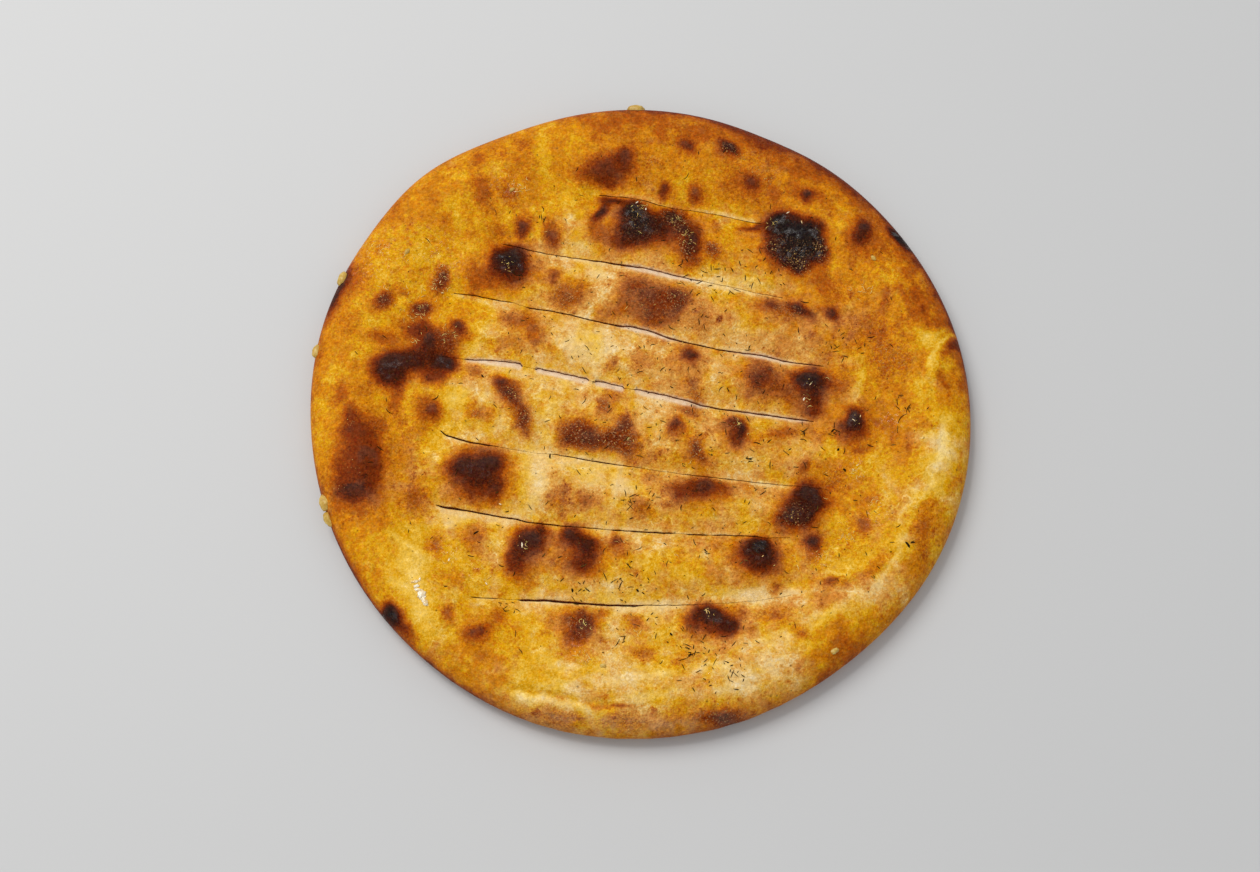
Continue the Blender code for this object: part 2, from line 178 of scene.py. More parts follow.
# Folds in the rim: two ends, depth (a rise where negative) and half width.
FOLDS = [
    ((-56, -125), (-14, -133.5), 1.7, 1.8),
    ((-48, -130), (-12, -137), -0.7, 2.4),
    ((136, 28), (126, 12), -1.2, 3.5),
    ((-84, -102), (-62, -116), 0.8, 3.0),
    ((-136, 62), (-122, 78), 0.8, 3.0),
]

# Baked spots: place, half length, half width, turn, darkness (1 is black), speckle.
SPOTS = [
    # Along the top, above the first slit.
    (-16, 113, 11, 6, 10, 0.80, 0.1), (-7, 116, 4, 6, 0, 0.80, 0.2),
    (-15, 107, 5, 3, -20, 0.74, 0.2), (0, 108, 3, 2.5, 0, 0.52, 0.5), (5, 116, 3, 3, 0, 0.54, 0.7),
    (10, 103, 3, 3.5, 0, 0.84, 0.3), (25, 101, 4, 4, 0, 0.74, 0.3),
    (21, 123, 4.5, 3.5, -10, 0.80, 0.4), (21, 127, 3, 3, 0, 0.62, 0.2),
    (10, 127, 3, 3, 0, 0.62, 0.3), (28, 130, 9, 3.5, -15, 0.64, 0.3),
    (40, 121, 4.5, 4, 0, 0.90, 0.6), (46, 106, 9, 7, -35, 0.62, 0.2),
    (50, 103, 3.5, 4, -30, 0.82, 0.1), (60, 100, 3, 3, 0, 0.64, 0.3), (69, 99, 2, 2, 0, 0.60, 0.3),
    (75, 98, 3.5, 3.5, -20, 0.86, 0.2), (84, 92, 3, 5, 30, 0.56, 0.3),
    (62, 117, 3, 2, 0, 0.56, 0.3), (55, 114, 8, 3, -40, 0.54, 0.6),
    (-40.5, 81, 4, 5.5, 10, 0.76, 0.4), (-54, 84.5, 3, 4.3, 10, 0.82, 0.4),
    (-64, 84, 4, 4, 0, 0.54, 0.3), (-71, 99, 4, 8, 15, 0.64, 0.4), (-60, 100, 4, 5, 0, 0.62, 0.7),
    (-57, 116, 9, 5, -20, 0.52, 0.4),
    # The two burnt blisters between the first slits, and what lies between them.
    (-4, 92, 7, 6, 0, 1.00, 0.2), (-1, 84, 9, 8, 0, 0.96, 0.5), (-8, 77, 9, 5, 10, 0.76, 0.1),
    (-19, 92, 2.5, 6, -25, 0.88, 0.1), (-13, 98, 6, 2.2, 5, 0.86, 0.1),
    (-18, 82, 4, 4, 0, 0.66, 0.1), (9, 84, 5, 7, 0, 0.84, 0.2), (15, 90, 5, 4, -20, 0.92, 0.9),
    (19, 83, 5, 5, -50, 0.90, 0.7), (24, 78, 4, 6, -10, 0.88, 0.3), (20, 74, 4, 4, 0, 0.86, 0.9),
    (18, 80, 9, 12, 25, 0.60, 0.2), (22, 68, 5, 3, 0, 0.66, 0.5), (32, 73, 3, 4, 0, 0.74, 0.9),
    (34, 85, 3, 2.5, 0, 0.56, 0.3), (50, 86, 5, 1.5, 10, 0.80, 0.1), (63, 84, 8, 6, -10, 1.00, 0.1),
    (71, 80, 9, 8, -35, 1.00, 0.2), (76, 77, 6, 7, 0, 0.98, 0.3), (69, 71, 9, 7, 0, 0.97, 0.55),
    (60, 74, 5, 5, 0, 0.84, 0.6), (70, 65, 5, 3, 0, 0.92, 0.75), (80, 72, 4, 5, 0, 0.86, 0.8),
    (98, 80, 5, 6, 0, 0.86, 0.2), (102, 75, 9, 9, -40, 0.60, 0.3),
    (117, 79, 7, 2.5, -52, 0.98, 0.1), (83, 58, 7, 3.5, -50, 0.62, 0.3),
    # The strips, from the second slit down.
    (-59, 68.5, 8.3, 7.4, 0, 0.97, 0.2), (-58, 66, 9, 9, 0, 0.84, 0.2),
    (-71, 60, 7, 6, 20, 0.66, 0.1), (-40, 60, 2.5, 3, 0, 0.72, 0.3), (-34, 51, 6, 5, 10, 0.68, 0.8),
    (-27, 56, 4, 3, 0, 0.58, 0.5), (-2, 56, 8, 6, 20, 0.71, 0.5), (7, 48, 11, 7, -5, 0.77, 0.6),
    (15, 50, 5, 5, 0, 0.80, 0.8), (-10, 45, 9, 4, 20, 0.60, 0.1), (6, 41, 8, 4, 0, 0.68, 0.2),
    (27, 40, 5, 5, 0, 0.52, 0.6), (57, 48, 4, 3.5, 0, 0.76, 0.3), (65, 44, 6, 4, -10, 0.66, 0.8),
    (71, 44, 6, 3, -50, 0.88, 0.2), (84, 42, 3, 4, 20, 0.86, 0.2), (99, 35, 5, 5, 0, 0.58, 0.5),
    (109, 21, 8, 8, 30, 0.58, 0.8), (-55, 40, 7, 4, -10, 0.62, 0.5),
    (-48, 35, 3.5, 7, 20, 0.66, 0.4), (-57, 28, 9, 4, 10, 0.50, 0.2), (22, 23, 4, 4, 0, 0.86, 0.2),
    (0, 20, 4, 4, 0, 0.54, 0.4), (-13, 19, 3, 3, 0, 0.52, 0.4), (12, 20, 3, 3, 0, 0.52, 0.4),
    (23, 4, 3, 7, 5, 0.56, 0.8), (52, 12, 7.5, 7.5, -10, 0.81, 0.5), (62, 6, 6, 4.5, 0, 0.68, 0.3),
    (73.5, 11.5, 7.5, 5.5, -15, 0.95, 0.2), (75, 3, 4.5, 5.5, 0, 0.84, 0.2),
    (82, 10, 6, 4.5, -10, 0.72, 0.3), (76, -2, 4, 2.5, 0, 0.72, 0.3),
    # The left side.
    (-136, 53, 13, 3.5, 70, 0.88, 0.3), (-131, 56, 9, 6, 60, 0.64, 0.3),
    (-129, 36, 5, 5, 0, 0.54, 0.4), (-115, 47, 4, 4, 0, 0.80, 0.7), (-107, 53, 3, 2, 0, 0.56, 0.6),
    (-98, 44, 4.2, 4.0, 0, 0.84, 0.7), (-90, 59, 3, 6, 0, 0.74, 0.9),
    (-81, 36, 4, 4, -20, 0.84, 0.4), (-87, 30, 4, 4, 0, 0.76, 0.6),
    (-99, 34, 6.5, 3.6, -10, 0.80, 0.4), (-94.5, 28, 5, 6, -15, 0.86, 0.1),
    (-93, 25, 9, 7, 20, 0.60, 0.1), (-114, 30, 7, 3.5, 0, 0.64, 0.2),
    (-108, 18, 9.5, 6.5, 15, 0.92, 0.0), (-110, 12, 5, 6, 0, 0.84, 0.1),
    (-98, 21, 7, 5, 10, 0.84, 0.1), (-87, 20, 6, 4.8, 0, 0.93, 0.0), (-91, 13, 5, 4, 0, 0.78, 0.1),
    (-108, 4, 3, 9, 5, 0.66, 0.2), (-131, 3, 3, 5, -20, 0.64, 0.3), (-122, 6, 4, 3, 0, 0.56, 0.3),
    (-93, -3, 5, 5, 0, 0.78, 0.2), (-74, 15, 3, 4, 0, 0.60, 0.4), (-125, -8, 4, 7, 0, 0.74, 0.3),
    (-123, -15, 6, 7, 0, 0.77, 0.2), (-121, -29, 17, 9.5, 95, 0.74, 0.1),
    (-118, -27, 10, 5, 92, 0.79, 0.1), (-123, -41, 7.5, 6.5, 0, 0.85, 0.2),
    (-129, -35, 3.5, 8, 0, 0.72, 0.3), (-114, -11, 4, 3, 0, 0.60, 0.5),
    (-103, -22, 6, 12, 0, 0.52, 0.4), (-98, -43, 5, 6, 10, 0.62, 0.6),
    (-75.5, -29, 8.3, 7.2, 0, 0.90, 0.2), (-65.5, -28.5, 8.3, 7.6, -5, 0.90, 0.1),
    (-70, -37, 10.5, 5.5, -5, 0.75, 0.2), (-62, -40, 4.2, 5.5, 0, 0.82, 0.2),
    (-76, -40, 8, 4, 0, 0.58, 0.3), (-61, 10, 5, 3.5, -30, 0.84, 0.2),
    (-57, 3, 6, 4, -60, 0.82, 0.7), (-52, -6, 6, 4, -75, 0.80, 0.9), (-72, -4, 4, 3, 0, 0.60, 0.7),
    (-66, -5, 3, 3, 0, 0.52, 0.4),
    # The strips around the middle.
    (-29, -12, 6.5, 5, 10, 0.78, 0.8), (-22, -15.5, 7.5, 4, -15, 0.81, 0.7),
    (-28, -17, 6, 3.2, 0, 0.72, 0.9), (-13, -15, 7.5, 4.3, 5, 0.76, 1.0),
    (-8, -11.5, 3.5, 6, 0, 0.78, 0.8), (-9, -18.5, 6, 3, 0, 0.74, 1.0),
    (-3, -21, 4, 3, 0, 0.54, 0.7), (-16, -1, 2.5, 3.5, 0, 0.68, 0.9), (-12, 5, 3, 4, 0, 0.58, 0.8),
    (15, -10, 2.8, 3.2, 0, 0.82, 0.4), (15, -12, 4, 4.5, 0, 0.62, 0.5),
    (21, -3, 4.5, 2.3, -15, 0.68, 0.7), (24, -19.5, 3.2, 4.5, -5, 0.76, 1.0),
    (22, -24, 6, 2.5, 5, 0.58, 0.5), (4, -24, 8, 2.5, 0, 0.50, 0.7),
    (39, -8.5, 4, 4.2, 0, 0.82, 0.6), (43.5, -12, 3.5, 5.5, 15, 0.90, 0.3),
    (41, -16, 4, 4.5, 0, 0.78, 0.3), (61, -13.5, 6, 2.8, 12, 0.66, 0.5),
    (50, -19, 3, 2, -30, 0.56, 0.4), (78, -14, 3, 2, 20, 0.56, 0.5), (71, -28, 3, 3, 0, 0.70, 0.3),
    (92, -8.5, 5.4, 5.4, 0, 0.95, 0.4), (93, -14, 5, 3.5, 0, 0.66, 0.1),
    (95, -21, 3.5, 2, 0, 0.64, 0.2), (122, -11, 3, 3, 0, 0.52, 0.2), (83, -34, 4, 4, 0, 0.56, 0.7),
    (16, -41, 5.5, 4, -25, 0.78, 0.4), (22, -38, 6.5, 4.5, 5, 0.80, 0.4),
    (28, -38.5, 6, 4.5, -8, 0.84, 0.2), (35, -39, 3, 2.5, -15, 0.68, 0.4),
    (44, -38, 4, 3, 0, 0.54, 0.3), (-24, -43, 4, 3.5, 0, 0.62, 0.3), (-36, -42, 4, 5, 0, 0.56, 0.7),
    (0, -47, 3.5, 4, 20, 0.58, 0.5), (5, -33.5, 4, 2.5, 0, 0.52, 0.8),
    (72.5, -43, 6.5, 7.5, -15, 0.93, 0.3), (69, -46, 7, 6.5, 40, 0.90, 0.3),
    (65, -51, 7.5, 5.5, 25, 0.90, 0.55), (72, -62.5, 3.8, 5, 0, 0.87, 0.4),
    (88, -60, 6, 4.5, 10, 0.40, 0.4), (94, -55, 3, 3.5, 0, 0.64, 0.3),
    (119, -58, 4, 9, -15, 0.60, 0.4),
    # The two lowest strips and the near rim.
    (-48.5, -61.5, 6, 6.5, 10, 0.89, 0.2), (-52, -67, 5, 7, -15, 0.84, 0.1),
    (-54, -71, 3.5, 5, -15, 0.82, 0.1), (-44, -56.5, 3, 2.5, 0, 0.78, 0.2),
    (-43, -63, 4, 6, 0, 0.64, 0.2), (-43, -71, 8, 5, 0, 0.50, 0.1),
    (-48, -79, 3, 2.5, 0, 0.54, 0.1), (-31, -59.5, 5.5, 4, -20, 0.88, 0.3),
    (-25, -62.5, 5.5, 4, -45, 0.86, 0.2), (-22.5, -67.5, 4.8, 6.5, 5, 0.84, 0.1),
    (-25, -72.5, 5.5, 4, 20, 0.78, 0.1), (-30, -66, 5, 5, 0, 0.66, 0.1),
    (-30, -70, 7, 6, 0, 0.48, 0.1), (-12, -61.5, 3, 2.5, 0, 0.76, 0.5),
    (-10, -66, 3.5, 3, 0, 0.56, 0.3), (-71, -60, 5, 5.5, 20, 0.58, 0.2),
    (-88, -64, 3.5, 4, 0, 0.58, 0.2), (-80, -78, 6, 4, 0, 0.50, 0.3),
    (50, -64, 4.5, 4, 0, 0.98, 0.1), (47, -67, 6.5, 6, 0, 0.88, 0.2),
    (51, -69, 6.5, 5.5, 0, 0.90, 0.3), (49, -73.5, 7, 4, 0, 0.78, 0.1),
    (38, -71, 3, 3, 0, 0.56, 0.3), (56, -82, 2.5, 2.5, 0, 0.62, 0.2),
    (78.5, -81, 2.3, 2.3, 0, 0.72, 0.3), (85, -82, 2.5, 2, 0, 0.54, 0.3),
    (95, -76, 8, 3, 40, 0.54, 0.3), (42, -92, 3, 2.5, 0, 0.60, 0.3),
    (55, -94, 8, 4.5, -10, 0.52, 0.6), (45.5, -101, 2.2, 3, 0, 0.58, 0.4),
    (65, -102, 2.5, 2.2, 0, 0.60, 0.3), (22, -95, 5, 5, 0, 0.82, 0.3),
    (30, -94, 6.5, 5, -15, 0.94, 0.2), (36.5, -97.5, 4, 4, -20, 0.88, 0.1),
    (30, -100, 8, 3.5, -5, 0.76, 0.1), (-3, -97, 3.8, 3.5, 0, 0.62, 0.2),
    (-17, -93, 3.5, 2.5, 0, 0.58, 0.3), (-26, -95.5, 5, 4, 0, 0.82, 0.6),
    (-25.5, -100, 5.5, 5, -20, 0.82, 0.7), (-27, -104, 6.3, 4.3, 15, 0.74, 0.1),
    (2, -111, 4.5, 4.5, 0, 0.56, 0.4), (-60, -96, 3.5, 3.5, 0, 0.62, 0.2),
    (-68, -102, 4.5, 4, 25, 0.76, 0.3), (-81, -95, 3, 3.2, 0, 0.64, 0.5),
    (-106, -94, 5, 3.2, -50, 0.97, 0.0), (-101, -99, 7, 4, -45, 0.76, 0.1),
    (33, -137.5, 8, 3.2, 10, 0.82, 0.9), (26, -136.5, 6, 2.6, 0, 0.62, 0.8),
    (-8, -139, 8, 2.5, 0, 0.54, 0.9), (12, -139, 6, 2.5, 5, 0.50, 0.7),
    (-35, -137, 8, 3, -12, 0.56, 0.9),
]

# Thin marks along the rim's folds, partly painted shade in creases and painted highlight on ridges:
# points, half width, and how much darker (or paler).
MARKS_AND_PAINTED_FOLD_LIGHT = [
    ([(-54, -125), (-40, -128), (-28, -131.5), (-14, -133.5), (4, -133)], 0.9, 0.22),
    ([(-50, -129), (-36, -132.5), (-24, -135.5), (-8, -136.5)], 1.7, -0.24),
    ([(141, 31), (136, 30.5), (131, 27.5), (127, 22), (125, 16)], 0.9, -0.30),
    ([(139, 27), (134, 24), (131, 18), (130, 8)], 2.0, 0.16),
    ([(118, 31), (127, 31), (136, 32)], 2.2, -0.16),
    ([(97, 17), (95, 8), (94, 0), (96, -6)], 0.9, -0.12),
    ([(115, 55), (109, 50), (107, 42), (106, 34)], 1.2, 0.10),
    ([(-115, -62), (-108, -60), (-100, -63), (-96, -68)], 1.2, -0.14),
    ([(138, -22), (134, -36), (127, -50)], 1.0, 0.12),
    ([(131, -14), (127, -30), (118, -48), (108, -64)], 1.6, -0.12),
    ([(-25, -92), (-15, -93), (-13, -99), (-10, -105)], 0.8, -0.18),
    ([(-46, 91), (-47, 84), (-45, 77)], 1.0, -0.22),
]
# Streaks run along the rim on this side.
STREAKED_SIDE = -35

# Where the crust is grainy though not burnt: place, reach and how much.
GRAINY_ZONES = [
    (104, 34, 26, 0.6), (56, 112, 16, 0.5), (10, 122, 30, 0.35), (-62, 104, 14, 0.5),
    (-110, 60, 24, 0.35), (0, -138, 40, 0.5),
]

# Paler patches: place, half length, half width, turn and how much paler. Most are paler crust;
# a few on the right rim and its folds are painted highlight.
PALE_PATCHES_AND_HIGHLIGHTS = [
    (-66, 113, 7, 3.5, 25, 0.30), (-45, 116, 4, 9, 10, 0.22), (-103, 98, 7, 12, -30, 0.08),
    (-60, 90, 4, 9, 30, 0.14), (-18, 103, 14, 2.5, -8, 0.16), (5, 70, 16, 3.5, -10, 0.20),
    (-30, 76, 12, 3, -15, 0.10), (86, 72, 3, 17, 5, 0.18), (55, 57, 14, 3, -8, 0.18),
    (128, 14, 3.5, 11, -12, 0.30), (124, 27, 9, 3, 42, 0.32), (95, 11, 2, 10, -12, 0.24),
    (130, -19, 9, 11, 20, 0.26), (121, -40, 5, 15, -22, 0.22), (102, -22, 5, 9, 0, 0.14),
    (104, -42, 4, 7, 0, 0.12), (88, -87, 13, 5, 38, 0.28), (104, -70, 8, 6, 50, 0.16),
    (68, -98, 9, 6, 30, 0.16), (98, -107, 18, 5, 43, 0.08), (4, -131, 13, 3.5, 0, 0.18),
    (34, -126.5, 14, 4, 14, 0.18), (58, -113, 14, 8, 25, 0.20), (34, -119, 8, 4, 0, 0.22),
    (-12, -119, 26, 6, 0, 0.14), (-35, -131, 20, 2.5, -14, 0.20), (-97, -74, 8, 14, 12, 0.26),
    (-90, -97, 6, 8, 20, 0.26), (-112, -66, 5, 10, 30, 0.12), (-78, -51, 11, 4, -10, 0.22),
    (-64, -58, 3, 7, 10, 0.18), (-83, 2, 6, 6, 0, 0.12), (-75, 25, 10, 4, -5, 0.22),
    (-48, -32, 8, 10, 0, 0.22), (-12, -38, 8, 4, 0, 0.14), (-5, -93, 9, 3.5, 0, 0.30),
    (42, -86, 20, 3, 4, 0.28), (-25, 27, 14, 6, -10, 0.14), (30, 60, 14, 3, -12, 0.12),
    (-5, 60, 22, 3, -10, 0.08), (-67, 43, 5, 8, 0, 0.14), (5, 4, 8, 4, -10, 0.12),
    (82, -20, 3, 5, 0, 0.16), (-30, -106, 10, 4, 10, 0.06), (125, 3, 4, 8, 0, 0.12),
]

# Zones of browning that show on the bread: place, reach, and how much darker (or paler) they bake.
BROWNING = [
    # the far side, which browned most, from its left shoulder round to the right
    (-108, 92, 20, 0.10), (-88, 90, 30, 0.10), (-62, 124, 26, 0.14), (-38, 110, 18, 0.07),
    (0, 136, 36, 0.18), (62, 118, 38, 0.24), (116, 80, 34, 0.22), (138, 36, 20, 0.20),
    # the left rim
    (-140, 20, 16, 0.14), (-124, -54, 18, 0.14), (-92, -72, 22, 0.04), (-70, -120, 18, 0.10),
    # the right rim and the browned ground inside it
    (100, 24, 30, 0.12), (130, 5, 12, 0.10), (116, -12, 20, 0.09), (85, -18, 26, 0.13),
    (128, -55, 11, 0.14), (112, -84, 14, 0.12), (100, -82, 26, 0.04), (86, -108, 20, 0.12),
    # the near rim
    (30, -138, 26, 0.10), (60, -114, 30, 0.05), (0, -124, 34, -0.04),
    # the field: browner to the right, paler to the left and in the middle
    (60, 60, 20, 0.08), (56, 26, 34, 0.10), (22, -60, 14, 0.18), (60, -56, 14, 0.10),
    (-50, -38, 32, -0.15), (-60, 0, 20, -0.08), (-30, 38, 24, -0.06), (30, 38, 18, -0.07),
    (82, 88, 15, -0.12), (22, 98, 12, -0.16),
]
# How dark the crust bakes before these zones count, how dark a slit's pale bands are, and how far
# the patches pale.
FIELD_BROWNING = 0.318
BAND_TONE = 0.10
PALING = 0.85
# Only baked spots and bubbles get darker than this.
DARKEST_CRUST = 0.80
# Browning from the edge, and one row of painted contact shadow: direction, spread, how much darker,
# how far in.
EDGE_BROWNING_AND_PAINTED_SHADOW = [
    (60, 42, 0.40, 5.0), (52, 44, 0.30, 1.6), (8, 14, 0.26, 6.0), (225, 30, 0.13, 4.0),
    (222, 30, 0.28, 1.2), (150, 25, 0.18, 5.0), (282, 22, 0.10, 5.0), (298, 42, 0.12, 2.2),
    (195, 26, 0.13, 5.0),
]

# Flour left on the rim: direction, spread in radians, inset and breadth.
FLOURED_SIDE = 266
FLOUR_SPREAD = 0.33
FLOUR_INSET = 3
FLOUR_BREADTH = 5

# Where oil has soaked in and turned the crust ochre (or it is drier): place, reach and how much.
OIL_ZONES = [
    (-110, 72, 50, 1.45), (-50, 125, 50, 1.0), (30, 128, 55, 1.0), (100, 90, 55, 1.0),
    (130, 20, 40, 1.15), (-128, 0, 42, 1.15), (-84, -2, 14, 0.9), (-112, -85, 45, 1.0),
    (-70, -108, 40, 0.8), (-10, -118, 40, 0.5), (100, -45, 40, 0.95), (88, -108, 24, 0.95),
    (-78, -80, 18, 0.9), (40, 72, 34, 0.8), (10, -95, 40, 0.6), (20, 30, 46, -0.22),
    (0, 58, 14, -0.45), (68, 28, 20, -0.15), (58, -114, 13, -0.28), (105, -68, 9, -0.4),
    (116, -44, 11, -0.4), (98, -84, 9, -0.22), (128, 8, 7, -0.3), (130, -19, 10, -0.2),
    (4, 4, 16, -0.15),
]
OIL_EVERYWHERE = 0.52

# Wet spots that catch the light: place and reach.
WET_SPOTS = [
    (-96, -82, 9), (-84, -66, 8), (-70, -76, 7), (-12, -102, 10), (-25, -112, 9), (91, -30, 6),
    (76, -70, 6), (100, -50, 7), (-120, 68, 12), (-92, 72, 12), (28, -120, 9), (108, -8, 7),
    (-62, 104, 7),
]

# Herb flakes and garlic crumbs, as the solid has them.
SEED = 11
FLAKE_SPOTS = 440
FLAKE_LENGTH = (2.2, 5.2)
FLAKE_FIELD = 122.0
FLAKE_SLIT_GAP = 3.6
FLAKE_SPACING = 5.5
CRUMB_CORNERS = 12
# Pale grains of crumb and salt caught on the crust: place, spread and count.
GRAIN_CLUSTERS = [
    (-2, 95, 5, 16), (-3, 84, 6, 10), (15, 89, 4, 18), (20, 79, 4, 18), (21, 72, 3, 10),
    (68, 67, 6, 30), (73, 65, 4, 22), (79, 72, 3, 12), (59, 74, 4, 12), (45, 116, 3, 14),
    (52, 110, 3, 16), (58, 105, 2.5, 14), (5, 116, 3, 8), (1, 108, 3, 8), (-59, 66, 4, 9),
    (-51, -64, 3, 5), (75, 9, 3, 6), (72, 3, 3, 5), (43, -9, 3, 8), (27, -92, 4, 7),
    (64, -52, 4, 14), (69, -50, 3, 6), (-61, -43, 2, 4), (-34, 51, 4, 16), (-129, -40, 3, 6),
    (-126, -10, 3, 7), (-122, -30, 5, 6), (-28, -12, 5, 20), (-16, -15, 6, 26), (-6, -14, 3, 10),
    (-56, 4, 4, 16), (-52, -6, 4, 16), (24, -20, 4, 16), (23, 4, 3, 12), (-90, 59, 3, 10),
    (-98, 44, 4, 10), (-88, 32, 4, 12), (-115, 47, 3, 7), (33, -134, 6, 18), (-35, -136, 6, 14),
    (0, -139, 9, 18), (109, 21, 5, 10), (40, 121, 3, 9), (88, -57, 5, 5), (15, 50, 5, 22),
    (32, 73, 3, 9), (92, -8, 3, 5), (-16, -1, 3, 9), (-72, -4, 3, 6), (101, -97, 4, 6),
    (0, 0, 90, 90),
]
GRAIN_SIZE = (0.09, 0.28)
CURL_LENGTH = (0.8, 2.6)
CURL_WIDTH = (0.16, 0.34)
CURL_GLINT_SHADE = (0.0, 0.35)
# Pale curls of lifted skin, their pale colour partly a painted glint: place, spread and count.
CURL_AND_GLINT_CLUSTERS = [
    (91, -29, 3, 9), (101, -45, 3, 7), (94, -33, 2, 4), (76, -69, 4, 11), (88, -60, 4, 16),
    (-12, -103, 4, 7), (-14, -96, 3, 5), (-3, -103, 4, 5), (-25, -113, 4, 9), (-55, 103, 5, 16),
    (-118, 72, 5, 8), (-105, 68, 4, 6), (-90, 56, 4, 9), (28, -92, 3, 3), (-50, -64, 2, 3),
    (-8, -62, 1.5, 3), (0, 94, 5, 8), (16, 88, 4, 8), (21, 78, 4, 8), (-24, -98, 3, 8),
    (-98, 40, 5, 8), (-85, 34, 5, 9), (-115, 50, 4, 5), (-100, 30, 4, 5), (-58, 64, 3, 5),
    (72, 2, 1.5, 3), (42, -8, 2, 4), (-5, -17, 2, 3), (60, 86, 4, 6), (97, 52, 5, 10),
    (-66, -80, 3, 5), (-82, -70, 3, 5), (100, 55, 4, 6), (-98, 48, 14, 30), (-84, 62, 8, 12),
    (20, -20, 75, 60), (-20, 30, 60, 20),
]
# Beads of oil, coloured near white as a painted glint, that also shine: place, half length, half
# width, turn.
OIL_BEADS_PAINTED_GLINT = [
    (-95.6, -80.6, 2.0, 1.1, -60), (-94.9, -82.6, 1.6, 1.4, -10), (-93.8, -84.2, 2.1, 1.2, -70),
    (-92.7, -86.2, 2.6, 2.6, -50), (-91.7, -87.8, 1.7, 1.2, -65), (-90.8, -89.6, 2.2, 1.9, -20),
    (-93.6, -79.8, 1.2, 0.8, 20), (92, -8, 1.0, 0.35, 30), (95, -6, 0.8, 0.3, 0),
    (74, 9, 1.3, 0.3, -50), (51, -69, 0.6, 0.4, 0), (27, -92, 1.6, 0.4, 10),
    (-51, -64, 1.5, 0.5, -30), (2, 93, 1.0, 0.5, 20), (-2, 97, 1.2, 0.5, -20),
    (91, -30, 0.8, 0.4, 60), (93, -28, 0.7, 0.4, 0), (-66, -80, 0.8, 0.5, 0),
    (-82, -70, 0.9, 0.5, 40), (71, 2.5, 0.9, 0.7, 0), (-61, -45, 0.8, 0.5, 60),
    (66, 90, 1.0, 0.4, 20), (72, 85, 0.9, 0.4, -40), (-55, 104, 0.9, 0.4, 0),
    (-57, 101, 0.7, 0.4, 60), (-90, 58, 0.8, 0.4, 80), (-89, 53, 0.7, 0.4, 30),
]
# Herb needles: their widths, and how many fine ones are strewn and how far out.
FLAKE_WIDTH = (0.28, 0.48)
FINE_WIDTH = (0.25, 0.50)
TUFT_WIDTH = (0.28, 0.50)
FINE_HERBS = 620
FINE_HERB_FIELD = 128
# Tufts of herb: place, spread and count.
HERB_TUFTS = [
    (-27, -83, 5, 6), (-3, -79, 13, 20), (26, -112, 16, 34), (36, -122, 9, 14), (46, 66, 15, 16),
    (20, 62, 9, 10), (46, -25, 1.5, 3), (69, -14, 4, 8), (0, -46, 7, 7), (-6, -41, 7, 5),
    (20, -111, 4, 10), (-57, -90, 4, 8), (84, -12, 3, 5), (-8, -103, 4, 6), (5, -95, 3, 4),
    (114, -3, 3, 5), (36, 55, 8, 8), (62, 62, 8, 8), (-26, -84, 8, 6), (90, 25, 8, 12),
    (28, -66, 2, 6), (-56, 62, 4, 6), (-45, 88, 3, 5),
]
# Larger pieces of herb that stand out: place, length, width, turn.
SPRIGS = [
    (112.5, -7, 6, 0.4, 52), (115.5, -3, 5, 0.4, 62), (112, -65, 3.0, 1.2, 15),
    (114, -64, 2.0, 0.9, 50), (83, -12, 2.2, 0.9, 60), (85, -21, 1.3, 1.1, 0),
    (87.5, -30, 1.8, 1.0, 80), (-71, -58, 2.8, 0.9, -40), (50, -18, 3.6, 0.5, -25),
    (46, -25, 3.0, 0.5, 85), (47, -26, 2.2, 0.4, 70), (-29.5, -83, 1.8, 1.0, 10),
    (-2, -83, 1.5, 0.9, 30), (12, -102, 1.5, 1.0, 70), (-70, 13, 2.0, 0.8, 30),
    (-40, -23, 2.6, 0.8, 15),
]
# Crumbs of garlic: direction, inset from the outline, and half size. Those inside the rim are finer.
GARLIC_CRUMBS = [
    (91, 0.6, 2.7), (156, 1.4, 2.4), (170, 0.8, 2.2), (198, 1.0, 2.6), (201, 0.4, 2.4),
    (306, 6.5, 2.0), (146, 22, 1.6), (120, 30, 1.5), (33, 20, 1.6), (262, 28, 1.6),
]
GARLIC_RIM = 5
FINER_INSIDE = 0.65
# A bead of oil's length, breadth and height, as shares of its half length and half width.
BEAD_FORM = (0.8, 0.55, 0.35)

# Fineness of the crust's mesh.
OUTLINE_POINTS = 820
RIM_ROWS = (0.12, 0.5, 1.1, 2.0, 3.1, 4.4, 5.8, 7.2)
WALL_ROWS = ((0.15, 5.0), (0.6, 3.6), (1.4, 2.2), (2.6, 1.1), (4.2, 0.35), (6.5, 0.0))
FIELD_SPACING = 1.18
LIP_SPACING = 0.72
LIP_ZONE = 4.0
SLIT_POINT_SPACING = 0.75
LIP_ROW = 0.32
UNDERSIDE_SPACING = 3.2


# Plain sums over arrays.


def smooth_step(value):
    value = np.clip(value, 0.0, 1.0)
    return value * value * (3 - 2 * value)


def waves(x, y, wavelength, seed):
    """Smooth noise over the plan, from about -1 to 1."""
    cells = 256
    turns = np.random.default_rng(seed).uniform(0, 2 * math.pi, (cells, cells))
    u = x / wavelength + cells / 2
    v = y / wavelength + cells / 2
    column = np.floor(u).astype(int)
    row = np.floor(v).astype(int)
    total = 0
    for step_x in (0, 1):
        for step_y in (0, 1):
            turn = turns[(column + step_x) % cells, (row + step_y) % cells]
            away_x = u - column - step_x
            away_y = v - row - step_y
            weight = (1 - smooth_step(np.abs(away_x))) * (1 - smooth_step(np.abs(away_y)))
            total = total + weight * (np.cos(turn) * away_x + np.sin(turn) * away_y)
    return total * 1.6


